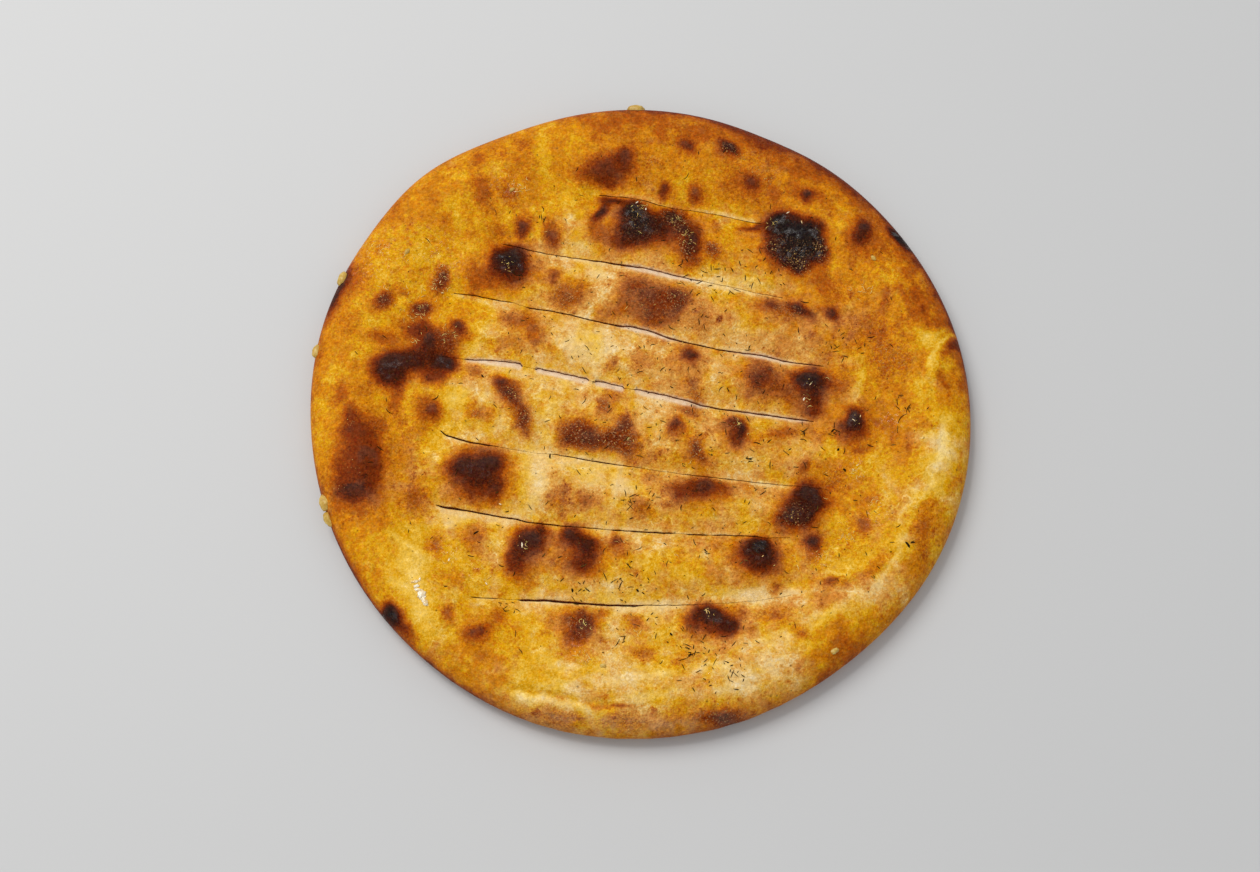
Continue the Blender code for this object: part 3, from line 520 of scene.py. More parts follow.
def outline_radius(angle):
    degrees = np.degrees(angle)
    radius = np.full_like(np.asarray(angle, float), RADIUS)
    for direction, swell, spread in SWELLS:
        away = (degrees - direction + 180) % 360 - 180
        radius = radius + swell * np.exp(-((away / spread) ** 2) / 2)
    return radius


def inset_of(x, y):
    return outline_radius(np.arctan2(y, x)) - np.hypot(x, y)


def rim_height(inset, angle):
    lean = 0.5 + 0.5 * np.cos(angle - math.radians(PUFFED_SIDE))
    crest = CREST_HEIGHT + PUFFED_EXTRA * lean
    across = 1 - np.clip(inset, 0, CREST_INSET) / CREST_INSET
    edge = WIDEST_HEIGHT + (crest - WIDEST_HEIGHT) * np.sqrt(1 - across * across)
    down = smooth_step((inset - CREST_INSET) / (FIELD_INSET - CREST_INSET))
    return np.where(inset < CREST_INSET, edge, crest + (FIELD_HEIGHT - crest) * down)


def slit_line(slit, steps=SLIT_STEPS):
    """Points along a slit's middle, as an array of x and y."""
    first, second, third, last = (Vector((*point, 0)) for point in slit[:4])
    start_handle = (18 * second - 9 * third - 5 * first + 2 * last) / 6
    end_handle = (18 * third - 9 * second - 5 * last + 2 * first) / 6
    points = interpolate_bezier(first, start_handle, end_handle, last, steps + 1)
    return np.array([(point.x, point.y) for point in points])


def path_distance(x, y, path):
    """Shortest way from each spot to a line of points, and on which side of it the spot is."""
    nearest = np.full(len(x), 1e9)
    side = np.zeros(len(x))
    for start, end in zip(path, path[1:]):
        run = end - start
        part = ((x - start[0]) * run[0] + (y - start[1]) * run[1]) / (run @ run)
        part = np.clip(part, 0, 1)
        off_x = x - start[0] - part * run[0]
        off_y = y - start[1] - part * run[1]
        away = np.hypot(off_x, off_y)
        closer = away < nearest
        nearest = np.where(closer, away, nearest)
        side = np.where(closer, np.sign(run[0] * off_y - run[1] * off_x), side)
    return nearest, side


def course(number, x, column):
    """One measure of how a slit tore open, at places along the plan."""
    rows = SLIT_COURSES[number]
    return np.interp(x, [row[0] for row in rows], [row[column] for row in rows])


def slit_course(number, steps=COURSE_STEPS):
    """Points along the tear, which wanders beside the solid's line."""
    line = slit_line(SLITS[number], steps)
    run = np.gradient(line, axis=0)
    run /= np.hypot(run[:, 0], run[:, 1])[:, None]
    wander = course(number, line[:, 0], 1) + 0.15 * waves(line[:, 0], line[:, 1], 4.0, 90 + number)
    return line + np.stack([-run[:, 1], run[:, 0]], 1) * wander[:, None]


def half_gap(number, x, y):
    """Half the width of a slit's mouth beside a spot."""
    torn = 1 + 0.25 * waves(x, y, 5.0, 40 + number) + 0.20 * waves(x, y, 1.8, 60 + number)
    return np.maximum(course(number, x, 2) * torn, NARROWEST_MOUTH) / 2


def turned_distance(x, y, spot):
    """Distance from the middle of an oval spot, where 1 is its edge."""
    at_x, at_y, half_length, half_width, turn = spot[:5]
    turned = math.radians(turn)
    along = (x - at_x) * math.cos(turned) + (y - at_y) * math.sin(turned)
    across = (y - at_y) * math.cos(turned) - (x - at_x) * math.sin(turned)
    return np.hypot(along / half_length, across / half_width)


def nearness(x, y, at_x, at_y, reach):
    """1 at a place, and falling softly to 0 beyond its reach."""
    return np.exp(-(((x - at_x) ** 2 + (y - at_y) ** 2) / reach**2))


# Relief and colour of the baked top, worked out at each point of the mesh.


def small_bubbles():
    """Little bubbles scattered over the crust: place, reach, rise and darkening."""
    draw = random.Random(5)
    bubbles = []
    for _ in range(BUBBLES):
        radius = BUBBLE_FIELD * math.sqrt(draw.random())
        angle = draw.uniform(0, 2 * math.pi)
        reach = 1.2 + 2.6 * draw.random() ** 2
        rise = reach * draw.uniform(0.06, 0.16)
        dark = draw.choice((0, 0, 0.1, 0.2, 0.3))
        bubbles.append((radius * math.cos(angle), radius * math.sin(angle), reach, rise, dark))
    return bubbles


class Top:
    """The shape and the baking of the top at an array of spots in the plan."""

    def __init__(self, x, y, slit_paths):
        self.x = x
        self.y = y
        self.angle = np.arctan2(y, x)
        self.inset = np.maximum(inset_of(x, y), 0)
        self.slit_distances(slit_paths)
        warp_x = 2.0 * waves(x, y, 11, 1) + 0.8 * waves(x, y, 4.3, 2)
        warp_y = 2.0 * waves(x, y, 11, 4) + 0.8 * waves(x, y, 4.3, 5)
        self.warped = (x + warp_x, y + warp_y)
        self.fade_to_edge = smooth_step(self.inset / CREST_INSET)
        self.bubbles = small_bubbles()
        tone, band = self.slit_bands(self.broad_tone())
        self.tone, char, spot_oil_and_light_side = self.bake_spots(tone)
        self.soak(char, spot_oil_and_light_side, band)
        self.dust_with_flour()
        self.heights()

    def slit_distances(self, slit_paths):
        """How far the nearest slit's lip is, and how the slit is there."""
        x, y = self.x, self.y
        self.lip = np.full(len(x), 1e9)
        self.centre = np.full(len(x), 1e9)
        self.mouth = np.zeros(len(x))
        self.shelf = np.zeros(len(x))
        self.pale_band = np.zeros(len(x))
        self.lip_reach = np.zeros(len(x))
        for number, path in enumerate(slit_paths):
            away, side = path_distance(x, y, path)
            lip = away - half_gap(number, x, y)
            closer = lip < self.lip
            band = np.where(side > 0, course(number, x, 4), course(number, x, 5))
            self.lip = np.where(closer, lip, self.lip)
            self.mouth = np.where(closer, course(number, x, 2), self.mouth)
            self.shelf = np.where(closer, course(number, x, 3), self.shelf)
            self.pale_band = np.where(closer, band, self.pale_band)
            self.lip_reach = np.where(closer, np.where(side > 0, 0.35, 0.9), self.lip_reach)
            self.centre = np.minimum(self.centre, away)
        self.lip = np.maximum(self.lip, 0)

    def rim_streaks(self):
        """Streaks drawn out along the rim, on the side where it was stretched."""
        streaks = waves(self.angle * RADIUS / 5, self.inset, 4.5, 61)
        streaks += 0.6 * waves(self.angle * RADIUS / 4, self.inset, 2.4, 62)
        turned = np.cos(self.angle - math.radians(STREAKED_SIDE))
        near_rim = np.exp(-(((self.inset - 18) / 16) ** 2))
        return streaks * near_rim * smooth_step((turned + 0.2) / 0.6)

    def heights(self):
        """How high the top stands at each spot."""
        x, y = self.x, self.y
        pillow = STRIP_RISE - (STRIP_RISE + LIP_DROP) * np.exp(-((self.centre / STRIP_REACH) ** 2))
        pillow *= smooth_step((self.inset - CREST_INSET) / (FIELD_INSET - CREST_INSET))
        blister = np.zeros(len(x))
        for spot in BLISTERS:
            blister = np.maximum(blister, spot[5] * np.exp(-(turned_distance(x, y, spot) ** 2.4)))
        fold = np.zeros(len(x))
        for start, end, deep, half_width in FOLDS:
            away, _ = path_distance(x, y, np.array([start, end], float))
            fold += deep * np.exp(-((away / half_width) ** 2))
        uneven = np.zeros(len(x))
        for layer, (wavelength, height) in enumerate(UNEVENNESS):
            at = zip(x / wavelength, y / wavelength)
            uneven += height * np.array([noise.noise((u, v, 7.3 * layer)) for u, v in at])
        bubble = np.zeros(len(x))
        for at_x, at_y, reach, rise, _ in self.bubbles:
            near = np.hypot(x - at_x, y - at_y) / reach
            bubble = np.maximum(bubble, rise * np.exp(-(near**2)))
        fine = 0.13 * waves(x, y, 4.2, 11) + 0.07 * waves(x, y, 2.3, 12)
        grains = self.grain * (0.22 * np.abs(waves(x, y, 2.6, 13)) + 0.12 * waves(x, y, 1.6, 14))
        open_wide = np.clip(self.mouth / 0.8, 0.1, 1)
        lip_round = -0.45 * open_wide * np.exp(-((self.lip / 0.5) ** 2))
        lip_round -= 0.22 * np.exp(-((self.lip / 2.4) ** 2))
        torn = 0.25 * waves(x, y, 2.2, 15) * np.exp(-((self.lip / 1.6) ** 2))
        coarse = (pillow + blister - fold + uneven) * self.fade_to_edge
        detail = (bubble + fine + grains) * (0.35 + 0.65 * self.fade_to_edge) + lip_round + torn
        self.z = rim_height(self.inset, self.angle) + coarse + detail

    def broad_tone(self):
        """How dark each spot is before slits, blisters and bubbles count: its baking, with painted
        shade and highlight along the rim's edge and folds.
        """
        x, y = self.x, self.y
        u, v = self.warped
        tone = FIELD_BROWNING + 0.08 * waves(x, y, 31, 21) + 0.08 * waves(x, y, 13, 22)
        tone += 0.08 * waves(u, v, 6, 23) + 0.04 * waves(x, y, 2.8, 24)
        for at_x, at_y, reach, shift in BROWNING:
            tone += shift * nearness(u, v, at_x, at_y, reach)
        # Paler patches, a few of them painted highlight on the rim.
        for patch in PALE_PATCHES_AND_HIGHLIGHTS:
            tone -= PALING * patch[5] * np.exp(-(turned_distance(u, v, patch) ** 2.5) * 0.7)
        # Marks along the folds: partly painted crease shade and painted ridge highlight.
        for points, half_width, shift in MARKS_AND_PAINTED_FOLD_LIGHT:
            away, _ = path_distance(u, v, np.array(points, float))
            tone += shift * np.exp(-((away / half_width) ** 2))
        tone += 0.12 * self.rim_streaks()
        degrees = np.degrees(self.angle)
        # Along the edge, browning, and at 298 degrees a painted contact shadow.
        for direction, spread, shift, depth in EDGE_BROWNING_AND_PAINTED_SHADOW:
            away = (degrees - direction + 180) % 360 - 180
            ragged = depth * (1 + 0.5 * waves(x, y, 14, 25))
            tone += shift * np.exp(-((away / spread) ** 2) - self.inset / ragged)
        return tone

    def slit_bands(self, tone):
        """The tone with the pale bands beside the slits, and the bands themselves."""
        patchy = np.clip(0.8 + 0.7 * waves(self.x, self.y, 5, 26), 0.2, 1.3)
        band = np.exp(-((self.lip / (0.5 + 1.2 * self.pale_band)) ** 4))
        band *= np.clip(1.3 * self.pale_band, 0, 1)
        tone -= 0.05 * np.exp(-((self.lip / 3.5) ** 2)) * patchy
        tone += (BAND_TONE - tone) * band * np.clip(patchy, 0.6, 0.95)
        return np.clip(tone, 0.0, DARKEST_CRUST), band

    def bake_spots(self, tone):
        """The tone with the baked spots and bubbles, and the char and the oil of the spots, the oil
        set higher on each spot's near side as painted light.
        """
        u, v = self.warped
        grain = np.zeros(len(u))
        for at_x, at_y, reach, amount in GRAINY_ZONES:
            grain = np.maximum(grain, amount * nearness(u, v, at_x, at_y, reach))
        ragged = np.zeros(len(u))
        char = np.zeros(len(u))
        spot_oil_and_light_side = np.zeros(len(u))
        for spot in sorted(SPOTS, key=lambda spot: spot[5]):
            away = turned_distance(u, v, spot)
            dark, speckle = spot[5], spot[6]
            crispness = 2.4 + 1.0 * max(0, dark - 0.85) / 0.15
            share = np.exp(-0.7 * away**crispness)
            halo = np.exp(-0.7 * (away / 1.35) ** 2.4)
            halo_tone = 0.34 + 0.22 * dark
            tone = np.maximum(tone, tone + (halo_tone - tone) * 0.65 * halo)
            tone = np.maximum(tone, tone + (dark - tone) * share)
            ragged = np.maximum(ragged * (1 - share), 4 * share * (1 - share))
            grain = np.maximum(grain, speckle * np.minimum(1, share + 0.6 * halo))
            char = np.maximum(char, share * dark)
            # Each spot is oilier, so more orange, on its near side and drier, more violet-brown, on
            # its far side: painted light on the blister.
            painted_light_side = np.clip(0.5 - 0.55 * (v - spot[1]) / max(spot[2], spot[3]), 0, 1)
            painted_light_side += (0.95 - painted_light_side) * smooth_step((away - 0.5) / 0.5)
            spot_oil_and_light_side += (painted_light_side - spot_oil_and_light_side) * np.minimum(1, share + 0.5 * halo)
        for at_x, at_y, reach, _, dark in self.bubbles:
            if dark:
                near = np.hypot(u - at_x, v - at_y) / reach
                tone += dark * 0.7 * np.exp(-(near**2)) * (1 - tone)
        self.grain = np.clip(grain, 0, 1)
        self.ragged = np.clip(ragged, 0, 1)
        return np.clip(tone, 0, 1), char, spot_oil_and_light_side

    def soak(self, char, spot_oil_and_light_side, band):
        """Where oil soaked in, where it stands wet, and where crumb shows at a slit's lip."""
        x, y = self.x, self.y
        u, v = self.warped
        lip_close = np.exp(-((self.lip / self.lip_reach) ** 2)) * smooth_step(self.shelf / 0.5)
        self.crumb = lip_close * (1 - smooth_step((char - 0.3) / 0.3))
        oil = np.full(len(x), OIL_EVERYWHERE)
        for at_x, at_y, reach, amount in OIL_ZONES:
            near = nearness(x, y, at_x, at_y, reach)
            if amount > 0:
                oil = np.maximum(oil, amount * np.minimum(1.5 * near, 1))
            else:
                oil += amount * near
        oil += 0.35 * waves(u, v, 16, 27) + 0.30 * waves(u, v, 6, 28)
        # Over the spots the oil follows theirs, painted light side included.
        oil += (spot_oil_and_light_side - oil) * smooth_step((char - 0.4) / 0.35)
        self.oil = np.clip(oil * (1 - 0.5 * band), 0, 1)
        self.wet = np.zeros(len(x))
        for at_x, at_y, reach in WET_SPOTS:
            self.wet = np.maximum(self.wet, nearness(x, y, at_x, at_y, reach))

    def dust_with_flour(self):
        """A little flour from the peel, left low on the near rim."""
        turned = self.angle - math.radians(FLOURED_SIDE)
        turned = (turned + math.pi) % (2 * math.pi) - math.pi
        across = np.exp(-(((self.inset - FLOUR_INSET) / FLOUR_BREADTH) ** 2))
        flour = 0.5 * np.exp(-((turned / FLOUR_SPREAD) ** 2)) * across
        self.flour = np.clip(flour * (0.7 + 0.6 * waves(self.x, self.y, 4, 29)), 0, 1)


# The crust's mesh.


def lattice(spacing, seed):
    """A jittered grid of triangles over the bread's plan."""
    draw = np.random.default_rng(seed)
    reach = RADIUS + 6
    rows = int(reach / (spacing * math.sqrt(3) / 2))
    columns = int(reach / spacing)
    row, column = np.meshgrid(np.arange(-rows, rows + 1), np.arange(-columns, columns + 1))
    x = (column + 0.5 * (row % 2)) * spacing
    y = row * spacing * math.sqrt(3) / 2
    jitter = draw.uniform(-0.22, 0.22, (2, *x.shape)) * spacing
    return np.stack([(x + jitter[0]).ravel(), (y + jitter[1]).ravel()], 1)


def slit_mouth(number):
    """The loop of points round a slit, up one side and back down the other.

    With it, for each point: the way across to the other side, and the shelf's share of it.
    """
    coarse = slit_course(number, 200)
    lengths = np.hypot(*np.diff(coarse, axis=0).T)
    travel = np.concatenate([[0], np.cumsum(lengths)])
    steps = int(travel[-1] / SLIT_POINT_SPACING)
    at = np.linspace(0, travel[-1], steps + 1)
    line = np.stack([np.interp(at, travel, coarse[:, 0]), np.interp(at, travel, coarse[:, 1])], 1)
    run = np.gradient(line, axis=0)
    run /= np.hypot(run[:, 0], run[:, 1])[:, None]
    half = np.stack([-run[:, 1], run[:, 0]], 1) * half_gap(number, line[:, 0], line[:, 1])[:, None]
    tips = np.stack([line[0] - run[0] * TIP_REACH, line[-1] + run[-1] * TIP_REACH])
    loop = np.concatenate([tips[:1], line + half, tips[1:], (line - half)[::-1]])
    nowhere = np.zeros((1, 2))
    across = np.concatenate([nowhere, -2 * half, nowhere, 2 * half[::-1]])
    shelf = course(number, line[:, 0], 3)
    shelf = np.concatenate([[0], shelf, [0], shelf[::-1]])
    return loop, across, shelf


def triangulate(points, loops):
    """Triangles over points, with each loop's edges among theirs. Returns points and faces."""
    edges = []
    for first, count in loops:
        edges += [(first + step, first + (step + 1) % count) for step in range(count)]
    corners = [Vector(point) for point in points]
    found = delaunay_2d_cdt(corners, edges, [], 0, 1e-7)
    flat = np.array([(corner.x, corner.y) for corner in found[0]])
    return flat, np.array(found[2])


def crust_sheet(points, loops):
    """Triangles between the outline and the slits, keeping the order of the points."""
    flat, faces = triangulate(points, loops)
    if len(flat) != len(points):
        raise ValueError("points of the crust's plan coincide")
    middle = flat[faces].mean(1)
    outline_count = loops[0][1]
    all_outline = (faces < outline_count).all(1)
    outside = all_outline & (inset_of(middle[:, 0], middle[:, 1]) < 0)
    mouth_first = loops[1][0]
    mouth_last = loops[-1][0] + loops[-1][1]
    all_mouth = ((faces >= mouth_first) & (faces < mouth_last)).all(1)
    in_gap = np.zeros(len(faces), bool)
    for first, count in loops[1:]:
        mine = all_mouth & ((faces >= first) & (faces < first + count)).all(1)
        loop = flat[first : first + count]
        in_gap[mine] = inside_loop(middle[mine], loop)
    return flat, faces[~(outside | in_gap)]


def inside_loop(spots, loop):
    """Whether each spot lies inside a closed loop, by counting crossings."""
    inside = np.zeros(len(spots), bool)
    following = np.roll(loop, -1, axis=0)
    for start, end in zip(loop, following):
        spans = (start[1] > spots[:, 1]) != (end[1] > spots[:, 1])
        rise = end[1] - start[1]
        rise = rise if rise else 1e-12
        crossing = start[0] + (spots[:, 1] - start[1]) * (end[0] - start[0]) / rise
        inside ^= spans & (spots[:, 0] < crossing)
    return inside


def outline_ring(inset, half_step=False):
    angle = (np.arange(OUTLINE_POINTS) + (0.5 if half_step else 0)) * 2 * math.pi / OUTLINE_POINTS
    radius = outline_radius(angle) - inset
    return np.stack([radius * np.cos(angle), radius * np.sin(angle)], 1)


def plan_points(mouths, slit_paths):
    """The points of the top between its outline and the mouths of the slits."""
    rings = [outline_ring(inset, row % 2 == 0) for row, inset in enumerate(RIM_ROWS)]
    field = lattice(FIELD_SPACING, 31)
    field_inset = inset_of(field[:, 0], field[:, 1])
    away = mouth_distance(field, slit_paths)
    field = field[(field_inset > RIM_ROWS[-1] + 0.9 * FIELD_SPACING) & (away > LIP_ZONE)]
    fine = lattice(LIP_SPACING, 32)
    away = mouth_distance(fine, slit_paths)
    fine = fine[(away > LIP_ROW + 0.4 * LIP_SPACING) & (away <= LIP_ZONE)]
    lips = []
    for loop, across, _ in mouths:
        width = np.hypot(across[:, 0], across[:, 1])
        sides = width > 0
        outward = across[sides] / width[sides][:, None]
        row = loop[sides] - LIP_ROW * outward
        away = mouth_distance(row, slit_paths)
        lips.append(row[away > 0.7 * LIP_ROW])
    return np.concatenate([*rings, field, fine, *lips])


def mouth_distance(spots, slit_paths):
    nearest = np.full(len(spots), 1e9)
    x, y = spots[:, 0], spots[:, 1]
    for number, path in enumerate(slit_paths):
        away, _ = path_distance(x, y, path)
        nearest = np.minimum(nearest, away - half_gap(number, x, y))
    return nearest


def loops_after(first_loop_count, following):
    """The first point and the count of each loop, where loops follow one another."""
    loops = [(0, first_loop_count)]
    at = first_loop_count
    for loop in following:
        loops.append((at, len(loop)))
        at += len(loop)
    return loops


def strip_between(upper, lower):
    """Two triangles for each step between two loops of vertex numbers."""
    next_upper = np.roll(upper, -1)
    next_lower = np.roll(lower, -1)
    first = np.stack([upper, lower, next_lower], 1)
    second = np.stack([upper, next_lower, next_upper], 1)
    return np.concatenate([first, second])


TOP_LAYERS = ("tone", "ragged", "grain", "oil", "crumb", "flour", "wet")


class Builder:
    """Gathers points, their attributes and faces of the crust."""

    def __init__(self):
        self.points = []
        self.layers = {name: [] for name in (*TOP_LAYERS, "under")}
        self.map = []
        self.faces = []
        self.count = 0

    def add(self, points, spot_map, **layers):
        first = self.count
        self.points.append(points)
        self.map.append(spot_map)
        for name, values in self.layers.items():
            given = layers.get(name, 0.0)
            values.append(np.broadcast_to(given, len(points)).astype(float))
        self.count += len(points)
        return np.arange(first, self.count)


# The flat map for baked images: the middle and reach of the top's disc and of the underside's,
# the strips of the slit walls, and how long the unrolled rim and side wall are taken to be.
TOP_MAP_MIDDLE = (0.435, 0.565)
TOP_MAP_REACH = 0.428
UNDER_MAP_MIDDLE = (0.866, 0.134)
UNDER_MAP_REACH = 0.128
WALL_MAP_LENGTH = 0.15
WALL_MAP_PITCH = 0.0105
RIM_TRAVEL = 21.5
WALL_TRAVEL = 10.0


def top_map(x, y, travel_below=0.0):
    """Where a spot of the top lies on the flat map for baked images, unrolled at the rim."""
    radius = np.hypot(x, y)
    angle = np.arctan2(y, x)
    outline = outline_radius(angle)
    inset = np.clip(outline - radius, 0, None)
    across = np.clip(inset / CREST_INSET, 0, 1)
    edge_travel = RIM_TRAVEL * (2 / math.pi) * np.arccos(np.clip(across, 0, 1))
    inner = outline - CREST_INSET
    travel = np.where(inset < CREST_INSET, inner + edge_travel, radius) + travel_below
    share = travel / (RADIUS + RIM_TRAVEL - CREST_INSET + WALL_TRAVEL + 6)
    return np.stack(
        [
            TOP_MAP_MIDDLE[0] + TOP_MAP_REACH * share * np.cos(angle),
            TOP_MAP_MIDDLE[1] + TOP_MAP_REACH * share * np.sin(angle),
        ],
        1,
    )


def under_map(x, y):
    return np.stack(
        [
            UNDER_MAP_MIDDLE[0] + UNDER_MAP_REACH * x / (RADIUS + 6),
            UNDER_MAP_MIDDLE[1] + UNDER_MAP_REACH * y / (RADIUS + 6),
        ],
        1,
    )


def crust_mesh():
    """The whole bread as one closed mesh: top, round edge, underside and slit walls."""
    slit_paths = [slit_course(number) for number in range(len(SLITS))]
    mouths = [slit_mouth(number) for number in range(len(SLITS))]
    mouth_loops = [mouth[0] for mouth in mouths]
    outline = outline_ring(0.0)
    plan = np.concatenate([outline, *mouth_loops, plan_points(mouths, slit_paths)])
    loops = loops_after(len(outline), mouth_loops)
    flat, faces = crust_sheet(plan, loops)
    top = Top(flat[:, 0], flat[:, 1], slit_paths)
    build = Builder()
    shared = {name: getattr(top, name) for name in TOP_LAYERS}
    build.add(np.column_stack([flat, top.z]), top_map(flat[:, 0], flat[:, 1]), **shared)
    build.faces.append(faces)
    base_ring = add_edge_wall(build, np.arange(len(outline)), top)
    lower_loops = []
    for number, (first, _) in enumerate(loops[1:]):
        lower_loops.append(add_slit_walls(build, number, first, top, mouths[number]))
    add_underside(build, base_ring, lower_loops, slit_paths)
    return build


def add_edge_wall(build, ring, top):
    """The round edge below the widest line. Returns its lowest ring, round the underside."""
    outline = outline_ring(0.0)
    x, y = outline[:, 0], outline[:, 1]
    tone = top.tone[: len(outline)]
    oil = top.oil[: len(outline)]
    flour = top.flour[: len(outline)]
    angle = np.arctan2(y, x)
    upper = ring
    for inset, height in WALL_ROWS:
        level = 1 - height / WIDEST_HEIGHT
        wobble = 0.35 * waves(x, y, 7, 50) * math.sin(math.pi * level)
        radius = outline_radius(angle) - inset + wobble
        spots = np.column_stack(
            [radius * np.cos(angle), radius * np.sin(angle), np.full(len(x), height)]
        )
        paler = tone - 0.10 * level + 0.06 * waves(x, y + 9 * inset, 6, 51)
        places = top_map(x, y, travel_below=WALL_TRAVEL * level)
        lower = build.add(
            spots,
            places,
            tone=np.clip(paler, 0, 1),
            ragged=top.ragged[: len(outline)],
            oil=oil * (1 - 0.5 * level),
            flour=np.clip(flour + 0.25 * level, 0, 1),
            under=np.full(len(x), 0.6 * smooth_step(np.array([level]))[0]),
        )
        build.faces.append(strip_between(upper, lower))
        upper = lower
    return upper


def add_slit_walls(build, number, first, top, mouth):
    """The crumb that shows in a slit, from its mouth down to the underside, with painted shade on its
    far wall and in the crack.
    """
    loop, across, shelf = mouth
    count = len(loop)
    mine = slice(first, first + count)
    upper = np.arange(first, first + count)
    width = np.hypot(across[:, 0], across[:, 1])
    unit = across / np.maximum(width, 0.01)[:, None]
    far_side = across[:, 1] < 0
    share = np.where(far_side, 0, shelf)
    undercut = np.where(far_side, UNDERCUT * np.minimum(width / 0.5, 1), 0)
    crack_way = np.where(far_side, 1 - shelf, 1 + shelf) / 2
    shelf_depth = SHELF_DEPTH + SHELF_SLOPE * width * share
    # The far wall carries less pale crumb: painted shade, as it faces away from the light.
    pale = np.where(far_side, 0.3, 1.0) * smooth_step(shelf / 0.4)
    levels = [
        (top.z[mine] - deep * shelf_depth, way * share, way * undercut, pale)
        for deep, way in SHELF_LEVELS
    ]
    # Down in the crack the crumb fades and the tone darkens: painted shade.
    levels.append((top.z[mine] - shelf_depth - CRACK_DEPTH, crack_way, CRACK_HALF_GAP, 0.1))
    levels.append((np.zeros(count), crack_way, CRACK_HALF_GAP, 0.0))
    strip_u = 0.01 + WALL_MAP_LENGTH * np.arange(count) / count
    for row, (z, way, back, crumb) in enumerate(levels):
        tone = SHELF_TONE if row < len(SHELF_LEVELS) else CRACK_PAINTED_SHADE_TONE
        at = loop + across * way[:, None] - unit * np.broadcast_to(back, count)[:, None]
        strip_v = 0.01 + WALL_MAP_PITCH * (number * 2 + 0.25 * (row + 1))
        places = np.column_stack([strip_u, np.full(count, strip_v)])
        spots = np.column_stack([at, z])
        lower = build.add(spots, places, tone=tone, oil=SLIT_OIL, crumb=crumb)
        build.faces.append(strip_between(upper, lower))
        upper = lower
    return upper, at


def add_underside(build, base_ring, lower_loops, slit_paths):
    """The flat, browned underside, a little dented where steam was under it."""
    base_inset = WALL_ROWS[-1][0]
    outline = outline_ring(base_inset)
    spots = lattice(UNDERSIDE_SPACING, 33)
    deep_enough = inset_of(spots[:, 0], spots[:, 1]) > base_inset + UNDERSIDE_SPACING
    clear = mouth_distance(spots, slit_paths) > 1.2
    spots = spots[deep_enough & clear]
    loops_at = [at for _, at in lower_loops]
    plan = np.concatenate([outline, *loops_at, spots])
    loops = loops_after(len(outline), loops_at)
    flat, faces = triangulate(plan, loops)
    middle = flat[faces].mean(1)
    all_outline = (faces < len(outline)).all(1)
    drop = all_outline & (inset_of(middle[:, 0], middle[:, 1]) < base_inset)
    for first, count in loops[1:]:
        mine = ((faces >= first) & (faces < first + count)).all(1)
        chosen = np.nonzero(mine)[0]
        drop[chosen] |= inside_loop(middle[chosen], flat[first : first + count])
    faces = faces[~drop]
    x, y = spots[:, 0], spots[:, 1]
    dents = np.clip(waves(x, y, 17, 80) - 0.15, 0, 1) * 0.9 + np.clip(waves(x, y, 8, 81), 0, 1) * 0.25
    dents *= smooth_step((inset_of(x, y) - base_inset) / 14)
    inner = build.add(
        np.column_stack([spots, dents]), under_map(x, y), tone=0.5, under=np.ones(len(spots))
    )
    numbers = np.concatenate([base_ring, *(loop for loop, _ in lower_loops), inner])
    build.faces.append(numbers[faces][:, ::-1])


def make_crust(material):
    build = crust_mesh()
    points = np.concatenate(build.points)
    points[:, 0] += PLAN_SHIFT[0]
    points[:, 1] += PLAN_SHIFT[1]
    faces = np.concatenate(build.faces)
    mesh = bpy.data.meshes.new("crust")
    mesh.vertices.add(len(points))
    mesh.vertices.foreach_set("co", (points * MM).astype(np.float32).ravel())
    mesh.loops.add(faces.size)
    mesh.loops.foreach_set("vertex_index", faces.astype(np.int32).ravel())
    mesh.polygons.add(len(faces))
    mesh.polygons.foreach_set("loop_start", np.arange(0, faces.size, 3, dtype=np.int32))
    mesh.update(calc_edges=True)
    mesh.validate()
    for name, values in build.layers.items():
        layer = mesh.attributes.new(name, "FLOAT", "POINT")
        layer.data.foreach_set("value", np.concatenate(values).astype(np.float32))
    places = np.concatenate(build.map)
    flat_map = mesh.uv_layers.new(name="OFBake")
    corners = np.zeros(len(mesh.loops), np.int32)
    mesh.loops.foreach_get("vertex_index", corners)
    flat_map.data.foreach_set("uv", places[corners].astype(np.float32).ravel())
    mesh.shade_smooth()
    mesh.materials.append(material)
    crust = bpy.data.objects.new("crust", mesh)
    bpy.context.scene.collection.objects.link(crust)
    return crust


# Toppings.


def settle(tree, x, y):
    """The surface point and normal under a spot of the plan."""
    start = Vector((x + PLAN_SHIFT[0], y + PLAN_SHIFT[1], 3 * CREST_HEIGHT)) * MM
    point, normal, _, _ = tree.ray_cast(start, Vector((0, 0, -1)))
    return point, normal


def herb_share(x, y, least, aside, spread_x, spread_y):
    """The share of herbs that lie at a spot: the most a little to the near right."""
    away = -(((x - aside) / spread_x) ** 2) - ((y + aside) / spread_y) ** 2
    return least + (1 - least) * math.exp(away)


